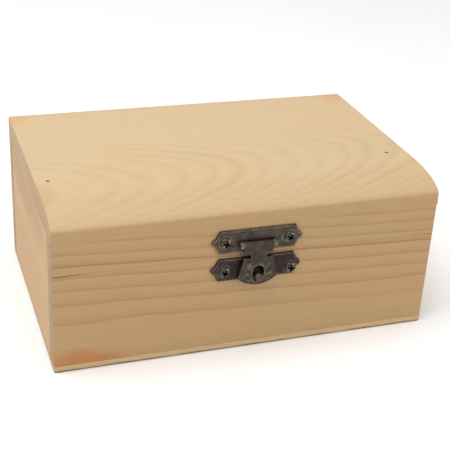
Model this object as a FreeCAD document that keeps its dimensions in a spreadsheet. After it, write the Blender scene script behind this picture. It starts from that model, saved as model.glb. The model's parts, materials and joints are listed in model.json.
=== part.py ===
import FreeCAD
import Part
import math
import os
import re
import Sketcher

# A small pine box with a hinged lid and an antique bronze hasp, in millimetres.
# X runs from left to right, Y from front to back and Z up.
# The origin is the middle of the underside, and the front face looks along -Y.

SIZES = [
    # the wooden case
    ("box_length", 150, "outside, left to right"),
    ("box_depth", 98, "outside, front to back"),
    ("box_height", 63, "outside, floor to lid top"),
    ("seam_height", 40.4, "where the lid meets the base"),
    ("side_thickness", 8, "front and back boards and rails"),
    ("end_thickness", 10, "end boards and rails"),
    ("corner_round", 0.8, "radius down the four outer corners"),
    ("bottom_thickness", 2.5, "thin panel under the base"),
    ("top_thickness", 10, "solid board of the lid"),
    ("nosing_depth", 22, "how far back the rounded front edge starts"),
    ("nosing_drop", 6, "how far the rounded front edge falls"),
    ("back_edge_round", 1.2, "radius of the top board's back edge"),
    # brads
    ("brad_diameter", 0.9, "shank"),
    ("brad_head_diameter", 1.4, "head, sunk flush"),
    ("brad_head_depth", 0.4, "thickness of the head"),
    ("lid_brad_length", 18, "through the top board into an end rail"),
    ("lid_brad_left", -70.3, "X of the left brad"),
    ("lid_brad_right", 66.3, "X of the right brad"),
    ("lid_brad_left_y", -18, "Y of the left brad"),
    ("lid_brad_right_y", -19.5, "Y of the right brad"),
    ("bottom_brad_length", 12, "through the bottom panel into an end board"),
    ("bottom_brad_reach", 70, "X of the bottom brads from the middle"),
    ("bottom_brad_spread", 30, "Y of the bottom brads from the middle"),
    # hasp plates
    ("hasp_x", 1, "the hasp sits a little right of the middle"),
    ("plate_thickness", 1, "both hasp plates"),
    ("plate_half_length", 14.8, "to the start of the pointed ends"),
    ("plate_half_height", 4.6, "half the height of each plate"),
    ("plate_shoulder", 16.3, "where a pointed end meets its bead"),
    ("plate_shoulder_height", 1.6, "half the height at the shoulder"),
    ("plate_bead", 1.4, "radius of the bead at each tip"),
    ("upper_plate_z", 46.9, "middle of the upper plate"),
    ("lower_plate_z", 35.4, "middle of the lower plate"),
    # hasp hinge and tongue
    ("hasp_pin_z", 45.4, "height of the tongue's pin"),
    ("hasp_pin_out", 1.65, "pin axis in front of the wood"),
    ("hasp_pin_diameter", 1.1, "pin"),
    ("hasp_barrel", 1.5, "outside radius of the rolled end"),
    ("hasp_clearance", 0.05, "radial play of the tongue on its pin"),
    ("hasp_side_gap", 0.15, "between the rolled end and each lug"),
    ("lug_width", 1.5, "lugs that hold the pin"),
    ("window_gap", 0.2, "round the rolled end in the upper plate"),
    ("tongue_width", 11.1, "rolled end and shoulders"),
    ("tongue_thickness", 1, "sheet of the tongue"),
    ("shoulder_drop", 3.2, "pin down to the foot of the shoulders"),
    ("neck_width", 6.2, "narrow neck"),
    ("neck_drop", 5, "pin down to the foot of the neck"),
    ("bill_top_width", 11.2, "bill under the neck"),
    ("bill_width", 15.2, "bill at its widest"),
    ("bill_drop", 13.4, "pin down to the widest place"),
    ("tongue_drop", 16.4, "pin down to the tip"),
    ("bill_swell", 0.7, "the bill's raised middle"),
    ("bill_margin", 1.1, "flat rim round the raised middle"),
    ("bill_slope", 40, "degrees that the raised middle's sides lean in"),
    ("eye_width", 4.1, "slot in the bill"),
    ("eye_top_drop", 8.1, "pin down to the top of the slot"),
    ("eye_foot_drop", 14.8, "pin down to the foot of the slot"),
    # stud
    ("stud_z", 33, "height of the stud"),
    ("stud_radius", 1.7, "neck and domed end"),
    ("stud_rivet_radius", 1, "tail riveted through the lower plate"),
    ("stud_reach", 5, "tip in front of the lower plate"),
    # hasp screws
    ("hasp_screw_reach", 12.5, "from the hasp's middle"),
    ("stray_screw_reach", 13.7, "the lower right screw was set askew"),
    ("stray_screw_drop", 1.6, "and lower than its neighbour"),
    ("lower_screw_drop", 0.6, "lower left screw below the plate's middle"),
    ("hasp_screw_head", 2.25, "head radius"),
    ("hasp_screw_dome", 1.4, "height of the head"),
    ("hasp_screw_shank", 1.1, "shank radius"),
    ("hasp_screw_length", 7, "under the head"),
    ("hasp_screw_slot", 2.9, "length of the cross recess"),
    ("hasp_screw_slot_width", 0.8, "width of its arms"),
    # butt hinges on the back
    ("hinge_reach", 48, "X of each hinge from the middle"),
    ("hinge_width", 20, "along the knuckles"),
    ("leaf_height", 9, "from the pin to a leaf's edge"),
    ("leaf_thickness", 0.8, "sheet of a leaf"),
    ("hinge_pin_out", 1.4, "pin axis behind the wood"),
    ("hinge_pin_diameter", 1.2, "pin"),
    ("hinge_barrel", 1.3, "outside radius of a knuckle"),
    ("hinge_clearance", 0.05, "radial play of the lid leaf on the pin"),
    ("knuckle_gap", 0.2, "between two knuckles"),
    ("middle_knuckle", 8, "length of the lid leaf's knuckle"),
    ("root_overlap", 0.3, "how far a knuckle's root runs into its leaf"),
    ("pin_head", 0.8, "radius of the ball at each end of a hinge pin"),
    ("hinge_screw_reach", 6.2, "from a hinge's middle"),
    ("hinge_screw_drop", 5.4, "from the pin"),
    ("hinge_screw_head", 1.7, "head radius"),
    ("hinge_screw_dome", 0.8, "height of the head"),
    ("hinge_screw_shank", 0.8, "shank radius"),
    ("hinge_screw_length", 6, "under the head"),
    ("hinge_screw_slot", 2.1, "length of the cross recess"),
    ("hinge_screw_slot_width", 0.6, "width of its arms"),
    ("recess_share", 0.55, "depth of a cross recess, as a part of the head's height"),
]

doc = FreeCAD.newDocument("PineBox")
sheet = doc.addObject("Spreadsheet::Sheet", "Sizes")
for row, (alias, size, note) in enumerate(SIZES, start=1):
    sheet.set(f"A{row}", alias)
    sheet.set(f"B{row}", str(size))
    sheet.set(f"C{row}", note)
    sheet.setAlias(f"B{row}", alias)
doc.recompute()

ALIASES = [alias for alias, _, _ in SIZES]


def with_aliases(text, swap):
    """A formula with each of its aliases changed by swap."""
    words = re.split(r"(\w+)", text)
    return "".join(swap(word) if word in ALIASES else word for word in words)


def linked(text):
    """Turn a formula in aliases into one that reads the sheet."""
    return with_aliases(text, lambda alias: f"Sizes.{alias}")


def number(text):
    """The value of a formula now, for the first guess of a sketch."""
    plain = with_aliases(text, lambda alias: f"({sheet.get(alias)})")
    return FreeCAD.Units.Quantity(plain).Value


def place(part, spot, turn=None):
    """Bind the three coordinates of a Placement; turn is a fixed rotation."""
    if turn is not None:
        part.Placement.Rotation = turn
    for axis, formula in zip("xyz", spot):
        part.setExpression(f"Placement.Base.{axis}", linked(formula))


def new_body(name):
    body = doc.addObject("PartDesign::Body", name)
    body.Label = name
    return body


def new_sketch(body, name, plane="XY_Plane"):
    sketch = body.newObject("Sketcher::SketchObject", name)
    origin = [f for f in body.Origin.OriginFeatures if f.Role == plane][0]
    sketch.AttachmentSupport = (origin, [""])
    sketch.MapMode = "FlatFace"
    return sketch


def pin_point(sketch, name, line, end, across, along):
    """Hold one point of a sketch by two formulas measured from its origin."""
    for axis, formula in (("X", across), ("Y", along)):
        value = number(formula)
        index = sketch.addConstraint(
            Sketcher.Constraint(f"Distance{axis}", -1, 1, line, end, value)
        )
        label = f"{name}{axis}"
        sketch.renameConstraint(index, label)
        sketch.setExpression(f"Constraints.{label}", linked(formula))


def outline(sketch, corners, name="p"):
    """A closed run of straight lines through corners given as formulas."""
    spots = [FreeCAD.Vector(number(a), number(b), 0) for a, b in corners]
    first = sketch.GeometryCount
    count = len(spots)
    for i in range(count):
        sketch.addGeometry(Part.LineSegment(spots[i], spots[(i + 1) % count]))
    for i in range(count):
        after = first + (i + 1) % count
        sketch.addConstraint(Sketcher.Constraint("Coincident", first + i, 2, after, 1))
    for i, (across, along) in enumerate(corners):
        pin_point(sketch, f"{name}{i}", first + i, 1, across, along)


def open_run(sketch, run):
    """Straight lines through run, left open at its end for a curve to close.

    Returns the corners as they are now and the index that the curve will have.
    """
    spots = [FreeCAD.Vector(number(a), number(b), 0) for a, b in run]
    for start, end in zip(spots, spots[1:]):
        sketch.addGeometry(Part.LineSegment(start, end))
    curve = len(run) - 1
    for i in range(curve - 1):
        sketch.addConstraint(Sketcher.Constraint("Coincident", i, 2, i + 1, 1))
    for i in range(curve):
        pin_point(sketch, f"p{i}", i, 1, *run[i])
    pin_point(sketch, "end", curve - 1, 2, *run[-1])
    return spots, curve


def rectangle(sketch, left, right, low, high, name="p"):
    corners = [(left, low), (right, low), (right, high), (left, high)]
    outline(sketch, corners, name)


def circle(sketch, across, along, radius, name="c"):
    centre = FreeCAD.Vector(number(across), number(along), 0)
    up = FreeCAD.Vector(0, 0, 1)
    index = sketch.addGeometry(Part.Circle(centre, up, number(radius)))
    pin_point(sketch, name, index, 3, across, along)
    size = sketch.addConstraint(Sketcher.Constraint("Radius", index, number(radius)))
    sketch.renameConstraint(size, f"{name}R")
    sketch.setExpression(f"Constraints.{name}R", linked(radius))


def pad(body, sketch, length, name="Pad", midplane=False, reverse=False, taper=None):
    feature = body.newObject("PartDesign::Pad", name)
    feature.Profile = sketch
    feature.setExpression("Length", linked(length))
    feature.Midplane = midplane
    feature.Reversed = reverse
    if taper:
        feature.setExpression("TaperAngle", linked(taper))
    doc.recompute()
    return feature


def pocket(body, sketch, length, name="Pocket", midplane=False, reverse=False):
    """Cut a sketch out of a body, and make sure that it took something away."""
    before = body.Shape.Volume
    feature = body.newObject("PartDesign::Pocket", name)
    feature.Profile = sketch
    feature.setExpression("Length", linked(length))
    feature.Midplane = midplane
    feature.Reversed = reverse
    doc.recompute()
    if body.Shape.Volume > before - 1e-6:
        raise ValueError(f"{body.Label}: {name} cuts nothing")
    return feature


def revolve(body, sketch):
    """Turn a half profile all the way round its sketch's vertical axis."""
    turned = body.newObject("PartDesign::Revolution", f"{sketch.Name}_turned")
    turned.Profile = sketch
    turned.ReferenceAxis = (sketch, ["V_Axis"])
    turned.Angle = 360
    doc.recompute()


def round_edges(body, base, radius, wanted, name="Fillet"):
    """Fillet the edges of base that the test wanted(edge) picks."""
    edges = [f"Edge{i + 1}" for i, e in enumerate(base.Shape.Edges) if wanted(e)]
    if not edges:
        raise ValueError(f"{body.Label}: {name} has no edges")
    feature = body.newObject("PartDesign::Fillet", name)
    feature.Base = (base, edges)
    feature.setExpression("Radius", linked(radius))
    doc.recompute()
    return feature


def is_upright(edge):
    box = edge.BoundBox
    return box.ZLength > 1 and box.XLength < 1e-6 and box.YLength < 1e-6


# ---- fasteners: one master of each kind, copied wherever one is driven ----


# a point of a screw head's dome, as parts of the head's radius and height
DOME_POINT = (0.62, 0.8)


def screw_master(name, kind):
    """A round head screw along Z: its head stands on z = 0, its shank goes down."""
    body = new_body(name)
    head, dome = f"{kind}_head", f"{kind}_dome"
    shank, length = f"{kind}_shank", f"{kind}_length"
    sketch = new_sketch(body, f"{name}_profile", "XZ_Plane")
    # the point is as long as the shank is wide
    point_top = f"-{length} + 2 * {shank}"
    spots, arc = open_run(sketch, [
        (head, "0"),
        (shank, "0"),
        (shank, point_top),
        ("0", f"-{length}"),
        ("0", dome),
    ])
    across, up = DOME_POINT
    bulge = FreeCAD.Vector(across * number(head), up * number(dome), 0)
    sketch.addGeometry(Part.Arc(spots[-1], bulge, spots[0]))
    # the arc runs anticlockwise, from the rim up to the tip
    sketch.addConstraint(Sketcher.Constraint("Coincident", arc, 1, 0, 1))
    sketch.addConstraint(Sketcher.Constraint("Coincident", arc, 2, arc - 1, 2))
    revolve(body, sketch)
    cross_recess(body, name, kind)
    return body


def cross_recess(body, name, kind):
    """A cross sunk into the head from its top."""
    long_arm = f"{kind}_slot / 2"
    thin_arm = f"{kind}_slot_width / 2"
    sketch = new_sketch(body, f"{name}_cross")
    corner = [(long_arm, thin_arm), (thin_arm, thin_arm), (thin_arm, long_arm)]
    spots = []
    for turn in range(4):
        for across, along in corner:
            for _ in range(turn):
                across, along = f"-({along})", across
            spots.append((across, along))
    outline(sketch, spots)
    sketch.setExpression("AttachmentOffset.Base.z", linked(f"{kind}_dome"))
    pocket(body, sketch, f"{kind}_dome * recess_share", f"{name}_recess")


def brad_master(name, length):
    """A brad along Z with its flat head's top at z = 0."""
    body = new_body(name)
    sketch = new_sketch(body, f"{name}_profile", "XZ_Plane")
    point = f"-{length} + brad_diameter"
    corners = [
        ("0", "0"),
        ("brad_head_diameter / 2", "0"),
        ("brad_diameter / 2", "-brad_head_depth"),
        ("brad_diameter / 2", point),
        ("0", f"-{length}"),
    ]
    outline(sketch, corners)
    revolve(body, sketch)
    return body


def drive(master, label, spots):
    """A group of equal fasteners: each spot is (x, y, z, rotation)."""
    solid = master.Shape.Solids[0]
    copies = []
    for across, deep, high, turn in spots:
        where = FreeCAD.Vector(number(across), number(deep), number(high))
        copy = solid.copy()
        copy.Placement = FreeCAD.Placement(where, turn)
        copies.append(copy)
    group = doc.addObject("Part::Feature", label)
    group.Label = label
    group.Shape = Part.makeCompound(copies)
    group.Placement = FreeCAD.Placement()
    return group


def facing(direction, spin=0):
    """Turn a fastener's head to the front (-1) or the back (+1), spun by degrees."""
    lay = FreeCAD.Rotation(FreeCAD.Vector(1, 0, 0), -90 * direction)
    return lay.multiply(FreeCAD.Rotation(FreeCAD.Vector(0, 0, 1), spin))


FRONT = "-box_depth / 2"
BACK = "box_depth / 2"
PLATE_FRONT = f"{FRONT} - plate_thickness"
LEAF_BACK = f"{BACK} + leaf_thickness"
HEAD_UP = FreeCAD.Rotation()
HEAD_DOWN = FreeCAD.Rotation(FreeCAD.Vector(1, 0, 0), 180)

hasp_screw = screw_master("hasp_screw_master", "hasp_screw")
hinge_screw = screw_master("hinge_screw_master", "hinge_screw")
lid_brad = brad_master("lid_brad_master", "lid_brad_length")
bottom_brad = brad_master("bottom_brad_master", "bottom_brad_length")

hasp_upper_screws = drive(hasp_screw, "hasp_upper_screws", [
    ("hasp_x - hasp_screw_reach", PLATE_FRONT, "upper_plate_z", facing(-1, 12)),
    ("hasp_x + hasp_screw_reach", PLATE_FRONT, "upper_plate_z", facing(-1, 33)),
])
hasp_lower_screws = drive(hasp_screw, "hasp_lower_screws", [
    ("hasp_x - hasp_screw_reach", PLATE_FRONT,
     "lower_plate_z - lower_screw_drop", facing(-1, 27)),
    ("hasp_x + stray_screw_reach", PLATE_FRONT,
     "lower_plate_z - stray_screw_drop", facing(-1, 8)),
])
lid_nails = drive(lid_brad, "lid_nails", [
    ("lid_brad_left", "lid_brad_left_y", "box_height", HEAD_UP),
    ("lid_brad_right", "lid_brad_right_y", "box_height", HEAD_UP),
])
bottom_nails = drive(bottom_brad, "bottom_nails", [
    (f"{side} * bottom_brad_reach", f"{end} * bottom_brad_spread", "0", HEAD_DOWN)
    for side in (-1, 1) for end in (-1, 1)
])
HINGES = {"hinge_left": "-hinge_reach", "hinge_right": "hinge_reach"}
hinge_screws = {}
for hinge, middle in HINGES.items():
    for leaf, way in (("base", -1), ("lid", 1)):
        hinge_screws[hinge, leaf] = drive(hinge_screw, f"{hinge}_{leaf}_screws", [
            (f"{middle} + {side} * hinge_screw_reach", LEAF_BACK,
             f"seam_height + {way} * hinge_screw_drop", facing(1, 25 * side + 10 * way))
            for side in (-1, 1)
        ])


# ---- the wooden case: boards and rails, bored for their fasteners ----


def board(label, size, spot, corners, fasteners=()):
    """A board centred in plan on spot and standing on it.

    size is (along X, along Y, height). corners lists the (x, y) signs of the
    upright corners that are rounded. fasteners are the groups driven into it.
    """
    length, depth, height = size
    blank = new_body(f"{label}_blank" if fasteners else label)
    sketch = new_sketch(blank, f"{label}_plan")
    half_x, half_y = f"({length}) / 2", f"({depth}) / 2"
    rectangle(sketch, f"-{half_x}", half_x, f"-{half_y}", half_y)
    solid = pad(blank, sketch, height, f"{label}_pad")

    def outer(edge):
        middle = edge.BoundBox.Center
        signs = (math.copysign(1, middle.x), math.copysign(1, middle.y))
        return is_upright(edge) and signs in corners

    if corners:
        round_edges(blank, solid, "corner_round", outer, f"{label}_corners")
    place(blank, spot)
    doc.recompute()
    return bored(label, blank, fasteners)


def bored(label, blank, fasteners):
    """Cut the shapes of the fasteners out of a blank, so that each fits its hole."""
    part = blank
    for i, group in enumerate(fasteners):
        cut = doc.addObject("Part::Cut", f"{label}_bored_{i + 1}")
        cut.Base = part
        cut.Tool = group
        doc.recompute()
        if cut.Shape.Volume > part.Shape.Volume - 1e-6:
            raise ValueError(f"{label}: {group.Label} leaves no hole")
        part = cut
    part.Label = label
    return part


def frame(prefix, unit, foot, height, fasteners):
    """Four boards round a hollow: the long ones lap the ends of the short ones."""
    side_y = "box_depth / 2 - side_thickness / 2"
    end_x = "box_length / 2 - end_thickness / 2"
    long_size = ("box_length", "side_thickness", height)
    short_size = ("end_thickness", "box_depth - 2 * side_thickness", height)
    front = board(f"{prefix}_front_{unit}", long_size, ("0", f"-({side_y})", foot),
                  [(-1, -1), (1, -1)], fasteners["front"])
    back = board(f"{prefix}_back_{unit}", long_size, ("0", side_y, foot),
                 [(-1, 1), (1, 1)], fasteners["back"])
    left = board(f"{prefix}_left_{unit}", short_size, (f"-({end_x})", "0", foot),
                 [], fasteners["ends"])
    right = board(f"{prefix}_right_{unit}", short_size, (end_x, "0", foot),
                  [], fasteners["ends"])
    return [front, back, left, right]


base_parts = frame(
    "base", "board", "bottom_thickness", "seam_height - bottom_thickness",
    {
        "front": [hasp_lower_screws],
        "back": [hinge_screws[hinge, "base"] for hinge in HINGES],
        "ends": [bottom_nails],
    },
)
lid_parts = frame(
    "lid", "rail", "seam_height", "box_height - top_thickness - seam_height",
    {
        "front": [hasp_upper_screws],
        "back": [hinge_screws[hinge, "lid"] for hinge in HINGES],
        "ends": [lid_nails],
    },
)
base_parts.append(
    board("bottom_panel", ("box_length", "box_depth", "bottom_thickness"),
          ("0", "0", "0"), [(-1, -1), (1, -1), (-1, 1), (1, 1)], [bottom_nails])
)


def top_board():
    """The lid's solid board: its front edge falls away in a quarter ellipse."""
    blank = new_body("lid_top_board_blank")
    sketch = new_sketch(blank, "lid_top_board_section", "YZ_Plane")
    crease = "top_thickness - nosing_drop"
    start = f"{FRONT} + nosing_depth"
    open_run(sketch, [
        (start, "top_thickness"),
        (BACK, "top_thickness"),
        (BACK, "0"),
        (FRONT, "0"),
        (FRONT, crease),
    ])
    centre = FreeCAD.Vector(number(start), number(crease), 0)
    whole = Part.Ellipse(centre, number("nosing_depth"), number("nosing_drop"))
    arc = sketch.addGeometry(Part.ArcOfEllipse(whole, math.pi / 2, math.pi))
    sketch.addConstraint(Sketcher.Constraint("Coincident", arc, 1, 0, 1))
    sketch.addConstraint(Sketcher.Constraint("Coincident", arc, 2, arc - 1, 2))
    pin_point(sketch, "centre", arc, 3, start, crease)
    solid = pad(blank, sketch, "box_length", "lid_top_board_pad", midplane=True)

    def back_edge(edge):
        box = edge.BoundBox
        high = abs(box.ZMin - number("top_thickness")) < 1e-6
        return box.XLength > 1 and high and abs(box.YMin - number(BACK)) < 1e-6

    round_edges(blank, solid, "back_edge_round", back_edge, "lid_top_board_back")
    place(blank, ("0", "0", "box_height - top_thickness"))
    doc.recompute()
    return bored("lid_top_board", blank, [lid_nails])


lid_parts.append(top_board())


# ---- the hasp on the front ----


def plate_blank(name):
    """A long plate with pointed ends and a bead at each tip, its back at y = 0."""
    body = new_body(f"{name}_blank")
    sketch = new_sketch(body, f"{name}_outline", "XZ_Plane")
    corner = [
        ("plate_half_length", "plate_half_height"),
        ("plate_shoulder", "plate_shoulder_height"),
    ]
    right = corner + [(x, f"-{z}") for x, z in reversed(corner)]
    left = [(f"-{x}", z) for x, z in reversed(right)]
    outline(sketch, right + left)
    pad(body, sketch, "plate_thickness", f"{name}_pad")
    beads = new_sketch(body, f"{name}_beads", "XZ_Plane")
    circle(beads, "plate_shoulder", "0", "plate_bead", "right")
    circle(beads, "-plate_shoulder", "0", "plate_bead", "left")
    pad(body, beads, "plate_thickness", f"{name}_bead_pad")
    return body


PIN_RISE = "hasp_pin_z - upper_plate_z"
PIN_OUT = "hasp_pin_out"
WINDOW_HALF = "tongue_width / 2 + hasp_side_gap"


def upper_plate():
    """The lid's plate: a window for the tongue's rolled end, and two pin lugs."""
    body = plate_blank("hasp_upper_plate")
    window = new_sketch(body, "hasp_window", "XZ_Plane")
    reach = "(hasp_barrel + window_gap)"
    rectangle(window, f"-({WINDOW_HALF})", WINDOW_HALF,
              f"{PIN_RISE} - {reach}", f"{PIN_RISE} + {reach}")
    pocket(body, window, "plate_thickness * 2", "hasp_window_cut", reverse=True)
    for side in (-1, 1):
        tag = "left" if side < 0 else "right"
        # in a YZ sketch X is world Y and Y is world Z; the front is at -Y
        lug = new_sketch(body, f"hasp_lug_{tag}", "YZ_Plane")
        middle = f"{side} * ({WINDOW_HALF} + lug_width / 2)"
        lug.setExpression("AttachmentOffset.Base.z", linked(middle))
        circle(lug, f"-{PIN_OUT}", PIN_RISE, "hasp_barrel")
        pad(body, lug, "lug_width", f"hasp_lug_{tag}_pad", midplane=True)
    bore = new_sketch(body, "hasp_lug_bore", "YZ_Plane")
    circle(bore, f"-{PIN_OUT}", PIN_RISE, "hasp_pin_diameter / 2")
    pocket(body, bore, "tongue_width + 4 * lug_width", "hasp_lug_bores", midplane=True)
    place(body, ("hasp_x", FRONT, "upper_plate_z"))
    doc.recompute()
    return bored("hasp_upper_plate", body, [hasp_upper_screws])


def lower_plate(stud):
    """The base's plate, pierced for its screws and for the stud's riveted tail."""
    body = plate_blank("hasp_lower_plate")
    place(body, ("hasp_x", FRONT, "lower_plate_z"))
    doc.recompute()
    return bored("hasp_lower_plate", body, [hasp_lower_screws, stud])


def stud():
    """A short turned post with a domed end, riveted through the lower plate."""
    body = new_body("hasp_stud")
    sketch = new_sketch(body, "hasp_stud_profile", "XZ_Plane")
    reach = "stud_reach"
    neck = f"{reach} - stud_radius"
    spots, dome = open_run(sketch, [
        ("0", reach),
        ("0", "-plate_thickness"),
        ("stud_rivet_radius", "-plate_thickness"),
        ("stud_rivet_radius", "0"),
        ("stud_radius", "0"),
        ("stud_radius", neck),
    ])
    slope = math.sqrt(0.5) * number("stud_radius")
    bulge = FreeCAD.Vector(slope, number(neck) + slope, 0)
    sketch.addGeometry(Part.Arc(spots[-1], bulge, spots[0]))
    sketch.addConstraint(Sketcher.Constraint("Coincident", dome, 1, dome - 1, 2))
    sketch.addConstraint(Sketcher.Constraint("Coincident", dome, 2, 0, 1))
    revolve(body, sketch)
    place(body, ("hasp_x", PLATE_FRONT, "stud_z"), facing(-1))
    doc.recompute()
    return body


def tongue():
    """Rolled end, shoulders, neck and bill in one sheet, its pin axis on X."""
    body = new_body("hasp_tongue")
    roll = new_sketch(body, "hasp_tongue_roll", "YZ_Plane")
    circle(roll, "0", "0", "hasp_barrel")
    pad(body, roll, "tongue_width", "hasp_tongue_roll_pad", midplane=True)

    # the sheet hangs from the front of the roll
    sheet_back = "hasp_barrel - tongue_thickness"
    flat = new_sketch(body, "hasp_tongue_outline", "XZ_Plane")
    flat.setExpression("AttachmentOffset.Base.z", linked(sheet_back))
    half = [
        ("tongue_width / 2", "0"),
        ("tongue_width / 2", "-shoulder_drop"),
        ("neck_width / 2", "-shoulder_drop"),
        ("neck_width / 2", "-neck_drop"),
        ("bill_top_width / 2", "-neck_drop"),
        ("bill_width / 2", "-bill_drop"),
    ]
    run = half + [(f"-({x})", z) for x, z in reversed(half)]
    bill_outline(flat, run)
    pad(body, flat, "tongue_thickness", "hasp_tongue_sheet")

    # the bill swells forward inside a flat rim
    swell = new_sketch(body, "hasp_tongue_swell", "XZ_Plane")
    swell.setExpression("AttachmentOffset.Base.z", linked("hasp_barrel"))
    inner = [
        ("bill_top_width / 2 - bill_margin", "-neck_drop - bill_margin"),
        ("bill_width / 2 - bill_margin", "-bill_drop + bill_margin / 2"),
    ]
    run = inner + [(f"-({x})", z) for x, z in reversed(inner)]
    outline(swell, run)
    pad(body, swell, "bill_swell", "hasp_tongue_swell_pad", taper="-bill_slope")

    eye = new_sketch(body, "hasp_tongue_eye", "XZ_Plane")
    slot(eye, "eye_width / 2", "-eye_foot_drop + eye_width / 2",
         "-eye_top_drop - eye_width / 2")
    pocket(body, eye, "hasp_barrel + tongue_thickness + 2 * bill_swell",
           "hasp_tongue_eye_cut", reverse=True)

    bore = new_sketch(body, "hasp_tongue_bore", "YZ_Plane")
    circle(bore, "0", "0", "hasp_pin_diameter / 2 + hasp_clearance")
    pocket(body, bore, "tongue_width * 2", "hasp_tongue_bore_cut", midplane=True)
    place(body, ("hasp_x", f"{FRONT} - {PIN_OUT}", "hasp_pin_z"))
    doc.recompute()
    return body


def bill_outline(sketch, run):
    """Straight lines through run, closed at the foot of the bill by one arc."""
    spots = [FreeCAD.Vector(number(a), number(b), 0) for a, b in run]
    half = len(run) // 2
    tip = FreeCAD.Vector(0, -number("tongue_drop"), 0)
    edges = {}
    for i in range(len(run)):
        start, end = spots[i], spots[(i + 1) % len(run)]
        edge = Part.LineSegment(start, end)
        if i == half - 1:
            edge = Part.Arc(end, tip, start)
        edges[i] = sketch.addGeometry(edge)
    # the foot's arc runs anticlockwise, so its ends are the other way round
    begins = {i: 2 if i == half - 1 else 1 for i in range(len(run))}
    for i in range(len(run)):
        after = (i + 1) % len(run)
        ends = 3 - begins[i]
        sketch.addConstraint(
            Sketcher.Constraint("Coincident", edges[i], ends, edges[after], begins[after])
        )
    for i, (across, along) in enumerate(run):
        pin_point(sketch, f"p{i}", edges[i], begins[i], across, along)
    low = sketch.addGeometry(Part.Point(tip))
    sketch.setConstruction(low, True)
    pin_point(sketch, "tip", low, 1, "0", "-tongue_drop")
    sketch.addConstraint(Sketcher.Constraint("PointOnObject", low, 1, edges[half - 1]))


def slot(sketch, radius, low, high):
    """An upright slot with round ends, centred on the sketch's vertical axis."""
    size = number(radius)
    up = FreeCAD.Vector(0, 0, 1)
    upper = Part.Circle(FreeCAD.Vector(0, number(high), 0), up, size)
    lower = Part.Circle(FreeCAD.Vector(0, number(low), 0), up, size)
    sketch.addGeometry(Part.ArcOfCircle(upper, 0, math.pi))
    sketch.addGeometry(Part.ArcOfCircle(lower, math.pi, 2 * math.pi))
    for x, first, second in ((-size, (0, 2), (1, 1)), (size, (1, 2), (0, 1))):
        line = sketch.addGeometry(Part.LineSegment(
            FreeCAD.Vector(x, number(high if x < 0 else low), 0),
            FreeCAD.Vector(x, number(low if x < 0 else high), 0),
        ))
        sketch.addConstraint(Sketcher.Constraint("Tangent", line, 1, *first))
        sketch.addConstraint(Sketcher.Constraint("Tangent", line, 2, *second))
    pin_point(sketch, "high", 0, 3, "0", high)
    pin_point(sketch, "low", 1, 3, "0", low)
    index = sketch.addConstraint(Sketcher.Constraint("Radius", 0, size))
    sketch.renameConstraint(index, "slotR")
    sketch.setExpression("Constraints.slotR", linked(radius))


def rod(label, radius, length, spot):
    """A plain pin along X, centred on spot."""
    pin = doc.addObject("Part::Cylinder", label)
    pin.Label = label
    pin.setExpression("Radius", linked(radius))
    pin.setExpression("Height", linked(length))
    across, deep, high = spot
    along_x = FreeCAD.Rotation(FreeCAD.Vector(0, 1, 0), 90)
    place(pin, (f"{across} - ({length}) / 2", deep, high), along_x)
    doc.recompute()
    return pin


hasp_stud = stud()
hasp_parts = [
    upper_plate(),
    lower_plate(hasp_stud),
    hasp_stud,
    tongue(),
    rod("hasp_pin", "hasp_pin_diameter / 2",
        f"2 * ({WINDOW_HALF} + lug_width)",
        ("hasp_x", f"{FRONT} - {PIN_OUT}", "hasp_pin_z")),
]


# ---- two butt hinges on the back ----


def leaf(hinge, middle, name, way, knuckles, bore):
    """One leaf of a butt hinge, with its pin axis on X through the body's origin.

    way is -1 for the leaf screwed to the base and 1 for the lid's. knuckles
    lists (start, end) along X, and the plate reaches the pin only there.
    """
    label = f"{hinge}_{name}_leaf"
    blank = new_body(f"{label}_blank")
    plate = new_sketch(blank, f"{label}_plate", "XZ_Plane")
    step = f"{way} * (hinge_barrel + knuckle_gap)"
    far = f"{way} * leaf_height"
    rectangle(plate, "-hinge_width / 2", "hinge_width / 2", step, far)
    plate.setExpression("AttachmentOffset.Base.z", linked("hinge_pin_out"))
    solid = pad(blank, plate, "leaf_thickness", f"{label}_pad", reverse=True)

    def free_corner(edge):
        box = edge.BoundBox
        at_edge = abs(box.Center.z - number(far)) < 1e-6
        return at_edge and box.XLength < 1e-6 and box.ZLength < 1e-6

    round_edges(blank, solid, "leaf_thickness", free_corner, f"{label}_corners")
    for i, (start, end) in enumerate(knuckles):
        root = new_sketch(blank, f"{label}_root_{i + 1}", "XZ_Plane")
        rectangle(root, start, end, "0", f"{step} + {way} * root_overlap")
        root.setExpression("AttachmentOffset.Base.z", linked("hinge_pin_out"))
        pad(blank, root, "leaf_thickness", f"{label}_root_pad_{i + 1}", reverse=True)
        roll = new_sketch(blank, f"{label}_roll_{i + 1}", "YZ_Plane")
        roll.setExpression("AttachmentOffset.Base.z", linked(f"({start} + {end}) / 2"))
        circle(roll, "0", "0", "hinge_barrel")
        pad(blank, roll, f"{end} - ({start})", f"{label}_roll_pad_{i + 1}", midplane=True)
    hole = new_sketch(blank, f"{label}_bore", "YZ_Plane")
    circle(hole, "0", "0", bore)
    pocket(blank, hole, "hinge_width * 2", f"{label}_bore_cut", midplane=True)
    place(blank, (middle, f"{BACK} + hinge_pin_out", "seam_height"))
    doc.recompute()
    return bored(label, blank, [hinge_screws[hinge, name]])


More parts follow.
